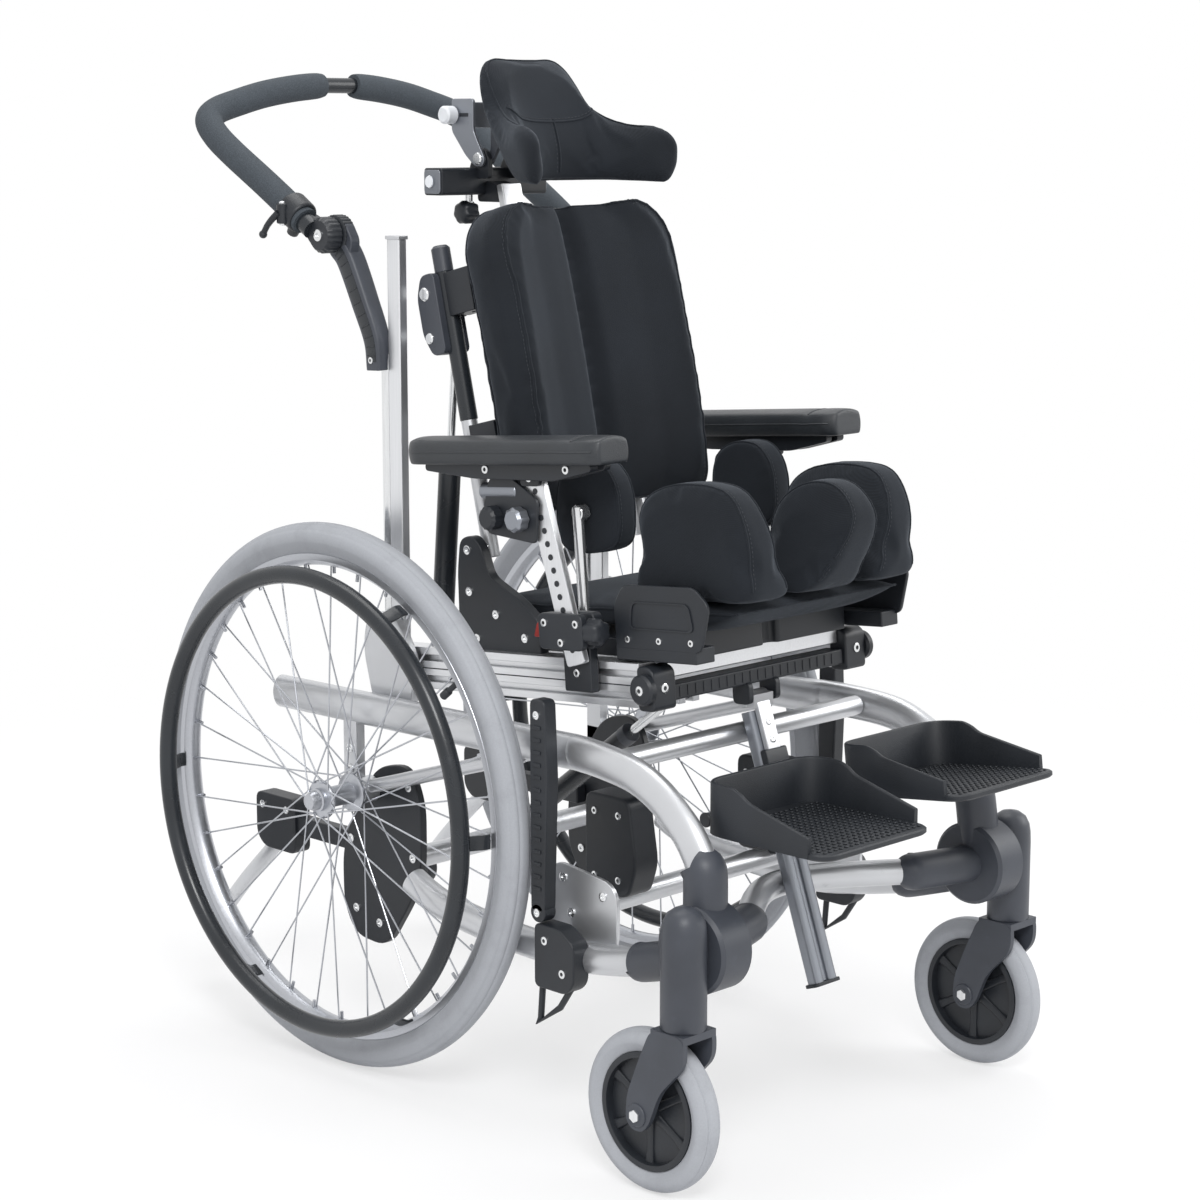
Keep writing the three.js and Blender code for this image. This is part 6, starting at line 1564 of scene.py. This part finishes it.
def cornered(corners, steps=10):
    out = []
    count = len(corners)
    for i, (x, y, radius) in enumerate(corners):
        here = Vector((x, y))
        before = (Vector(corners[i - 1][:2]) - here).normalized()
        after = (Vector(corners[(i + 1) % count][:2]) - here).normalized()
        start, end = here + before * radius, here + after * radius
        for k in range(steps + 1 if radius else 1):
            t = k / steps
            out.append(tuple(start * (1 - t) ** 2 + here * 2 * t * (1 - t) + end * t * t))
    return out


def cupFloor(s, outer, z0, z1):
    mid = Vector(((cup["inner"] + cup["outer"]) / 2, (cup["front"] + cup["rear"]) / 2))
    points = []
    for z, draw in ((z0, 2.1), (z0 + 1.6, 0.5), (z1 - 1.4, 0.5), (z1, 1.9)):
        for x, y in outer:
            out = Vector((x, y)) - mid
            share = 1 - draw / max(abs(out.x), abs(out.y))
            points.append((s * (mid.x + out.x * share), mid.y + out.y * share, z))
    n = len(outer)
    faces = [(i * n + k, i * n + (k + 1) % n, (i + 1) * n + (k + 1) % n, (i + 1) * n + k)
             for i in range(3) for k in range(n)]
    return points, [*faces, tuple(reversed(range(n))), tuple(range(3 * n, 4 * n))]


def cupWall(s, route):
    low = cup["low"]
    points, faces = [], []
    for i, (x, y) in enumerate(route):
        ahead = Vector(route[min(i + 1, len(route) - 1)]) - Vector(route[max(i - 1, 0)])
        ahead.normalize()
        inward = Vector((ahead.y, -ahead.x))
        top = low + cupHeight(y)
        for draw, z in ((0, low + 1.5), (0, top - 1.6), (1, top - 0.3), (2.4, top), (4.4, top - 0.6), (5, top - 2),
                        (cup["wall"], low + 3)):
            at = Vector((x, y)) + inward * draw
            points.append((s * at.x, at.y, z))
        if i:
            base = (i - 1) * 7
            faces += [(base + k, base + (k + 1) % 7, base + 7 + (k + 1) % 7, base + 7 + k) for k in range(7)]
    return points, faces + [tuple(range(7)), tuple(reversed(range(len(points) - 7, len(points))))]


def makeFootPlates():
    c = cup
    inner, outer, rear, front, low = (c[key] for key in ("inner", "outer", "rear", "front", "low"))
    toeEnd, heelEnd, top = front + c["toe"], rear - c["heel"], low + c["floor"]
    rim = cornered([(inner, front, c["toe"]), (inner, rear, c["heel"]), (outer, rear, c["heel"]),
                    (outer, front, c["toe"])])
    heel = cornered([(inner, heelEnd, 0), (inner, rear, c["heel"]), (outer, rear, c["heel"]), (outer, heelEnd, 0)],
                    14)
    route = [*[(inner, lerp(toeEnd, heelEnd, k / 40)) for k in range(40)], *heel,
             *[(outer, lerp(heelEnd, toeEnd, k / 40)) for k in range(1, 41)]]
    for m in bothSides("foot_plate_"):
        raised = tippedPlace(c["barY"], c["barZ"], c["raise"][m.tag])
        m.place = lambda p, tip=raised: tip((p[0], p[1] - c["barY"], p[2] - c["barZ"]))
        m.piece("footPlate", cupFloor(m.s, rim, low + 0.5, top), "plate", "foot_plate")
        m.piece("footWall", cupWall(m.s, route), "plate", sharp=50)
        turn = Matrix.Rotation(-math.radians(c["raise"][m.tag]), 4, "X")
        x, y = c["studsAt"]
        grow(f"footStuds_{m.tag}", studNodes, c["studs"], "plate", m.body,
             at=Matrix.Translation(m.place((m.s * x, y, top + 0.3))) @ turn)
        ribs = [m.box(x, x + 3, front + 34, rear - 12, low - 0.6, low + 1.4) for x in range(38, 180, 23)]
        ribs += [m.box(inner + 12, outer - 12, y, y + 3, low - 0.6, low + 1.4) for y in range(-640, -500, 32)]
        m.piece("footRibs", join(*ribs), "plate")
        m.piece("footLugs", m.plates(c["lug"], (55, 83), (129, 157)), "plate", bevel=0.8)


makeFootPlates()
print("foot plates made")


# Gas springs: x, low and high eye, tube and rod radius, the tube's share of the length, eye radius
springs = {"tilt": (0, (-62, 252), (-300.7, 433.1), 11, 5, 0.68, 10),
           "back": (-90, (-12, 452), (-44, 838), 12.5, 4.5, 0.6, 9)}


def makeSprings():
    for name, (x, low, high, radius, bar, share, eye) in springs.items():
        a, b = Vector((x, *low)), Vector((x, *high))

        def along(start, end, *sizes, lip=0):
            return rod(a.lerp(b, start), a.lerp(b, end), *sizes, lip=lip)

        def eyeAt(spot):
            return across(x - 4.9, x + 4.9, *spot, eye, 36, lip=0.8)
        for part, shapes, finish, half, nodes in (
                ("Barrel", [along(0.07, share, radius, 40, lip=1.6), along(0, 0.1, bar, 24), eyeAt(low)], "ring",
                 "tube", [f"{name}_spring_tube"]),
                ("Collar", [along(share - 0.045, share + 0.002, radius + 0.5, 40, lip=1),
                            along(0.062, 0.085, radius + 0.4, 40, lip=0.8)], "casting", "tube", ()),
                ("Rod", [along(share - 0.2, 0.97, bar, 28)], "chrome", "rod", [f"{name}_spring_rod"]),
                ("Eye", [eyeAt(high), along(0.93, 0.985, bar + 1.6, 24, lip=0.6)], "casting", "rod", ())):
            piece(f"{name}Spring{part}", join(*shapes), finish, f"{name}_{half}", nodes)


makeSprings()
print("gas springs made")
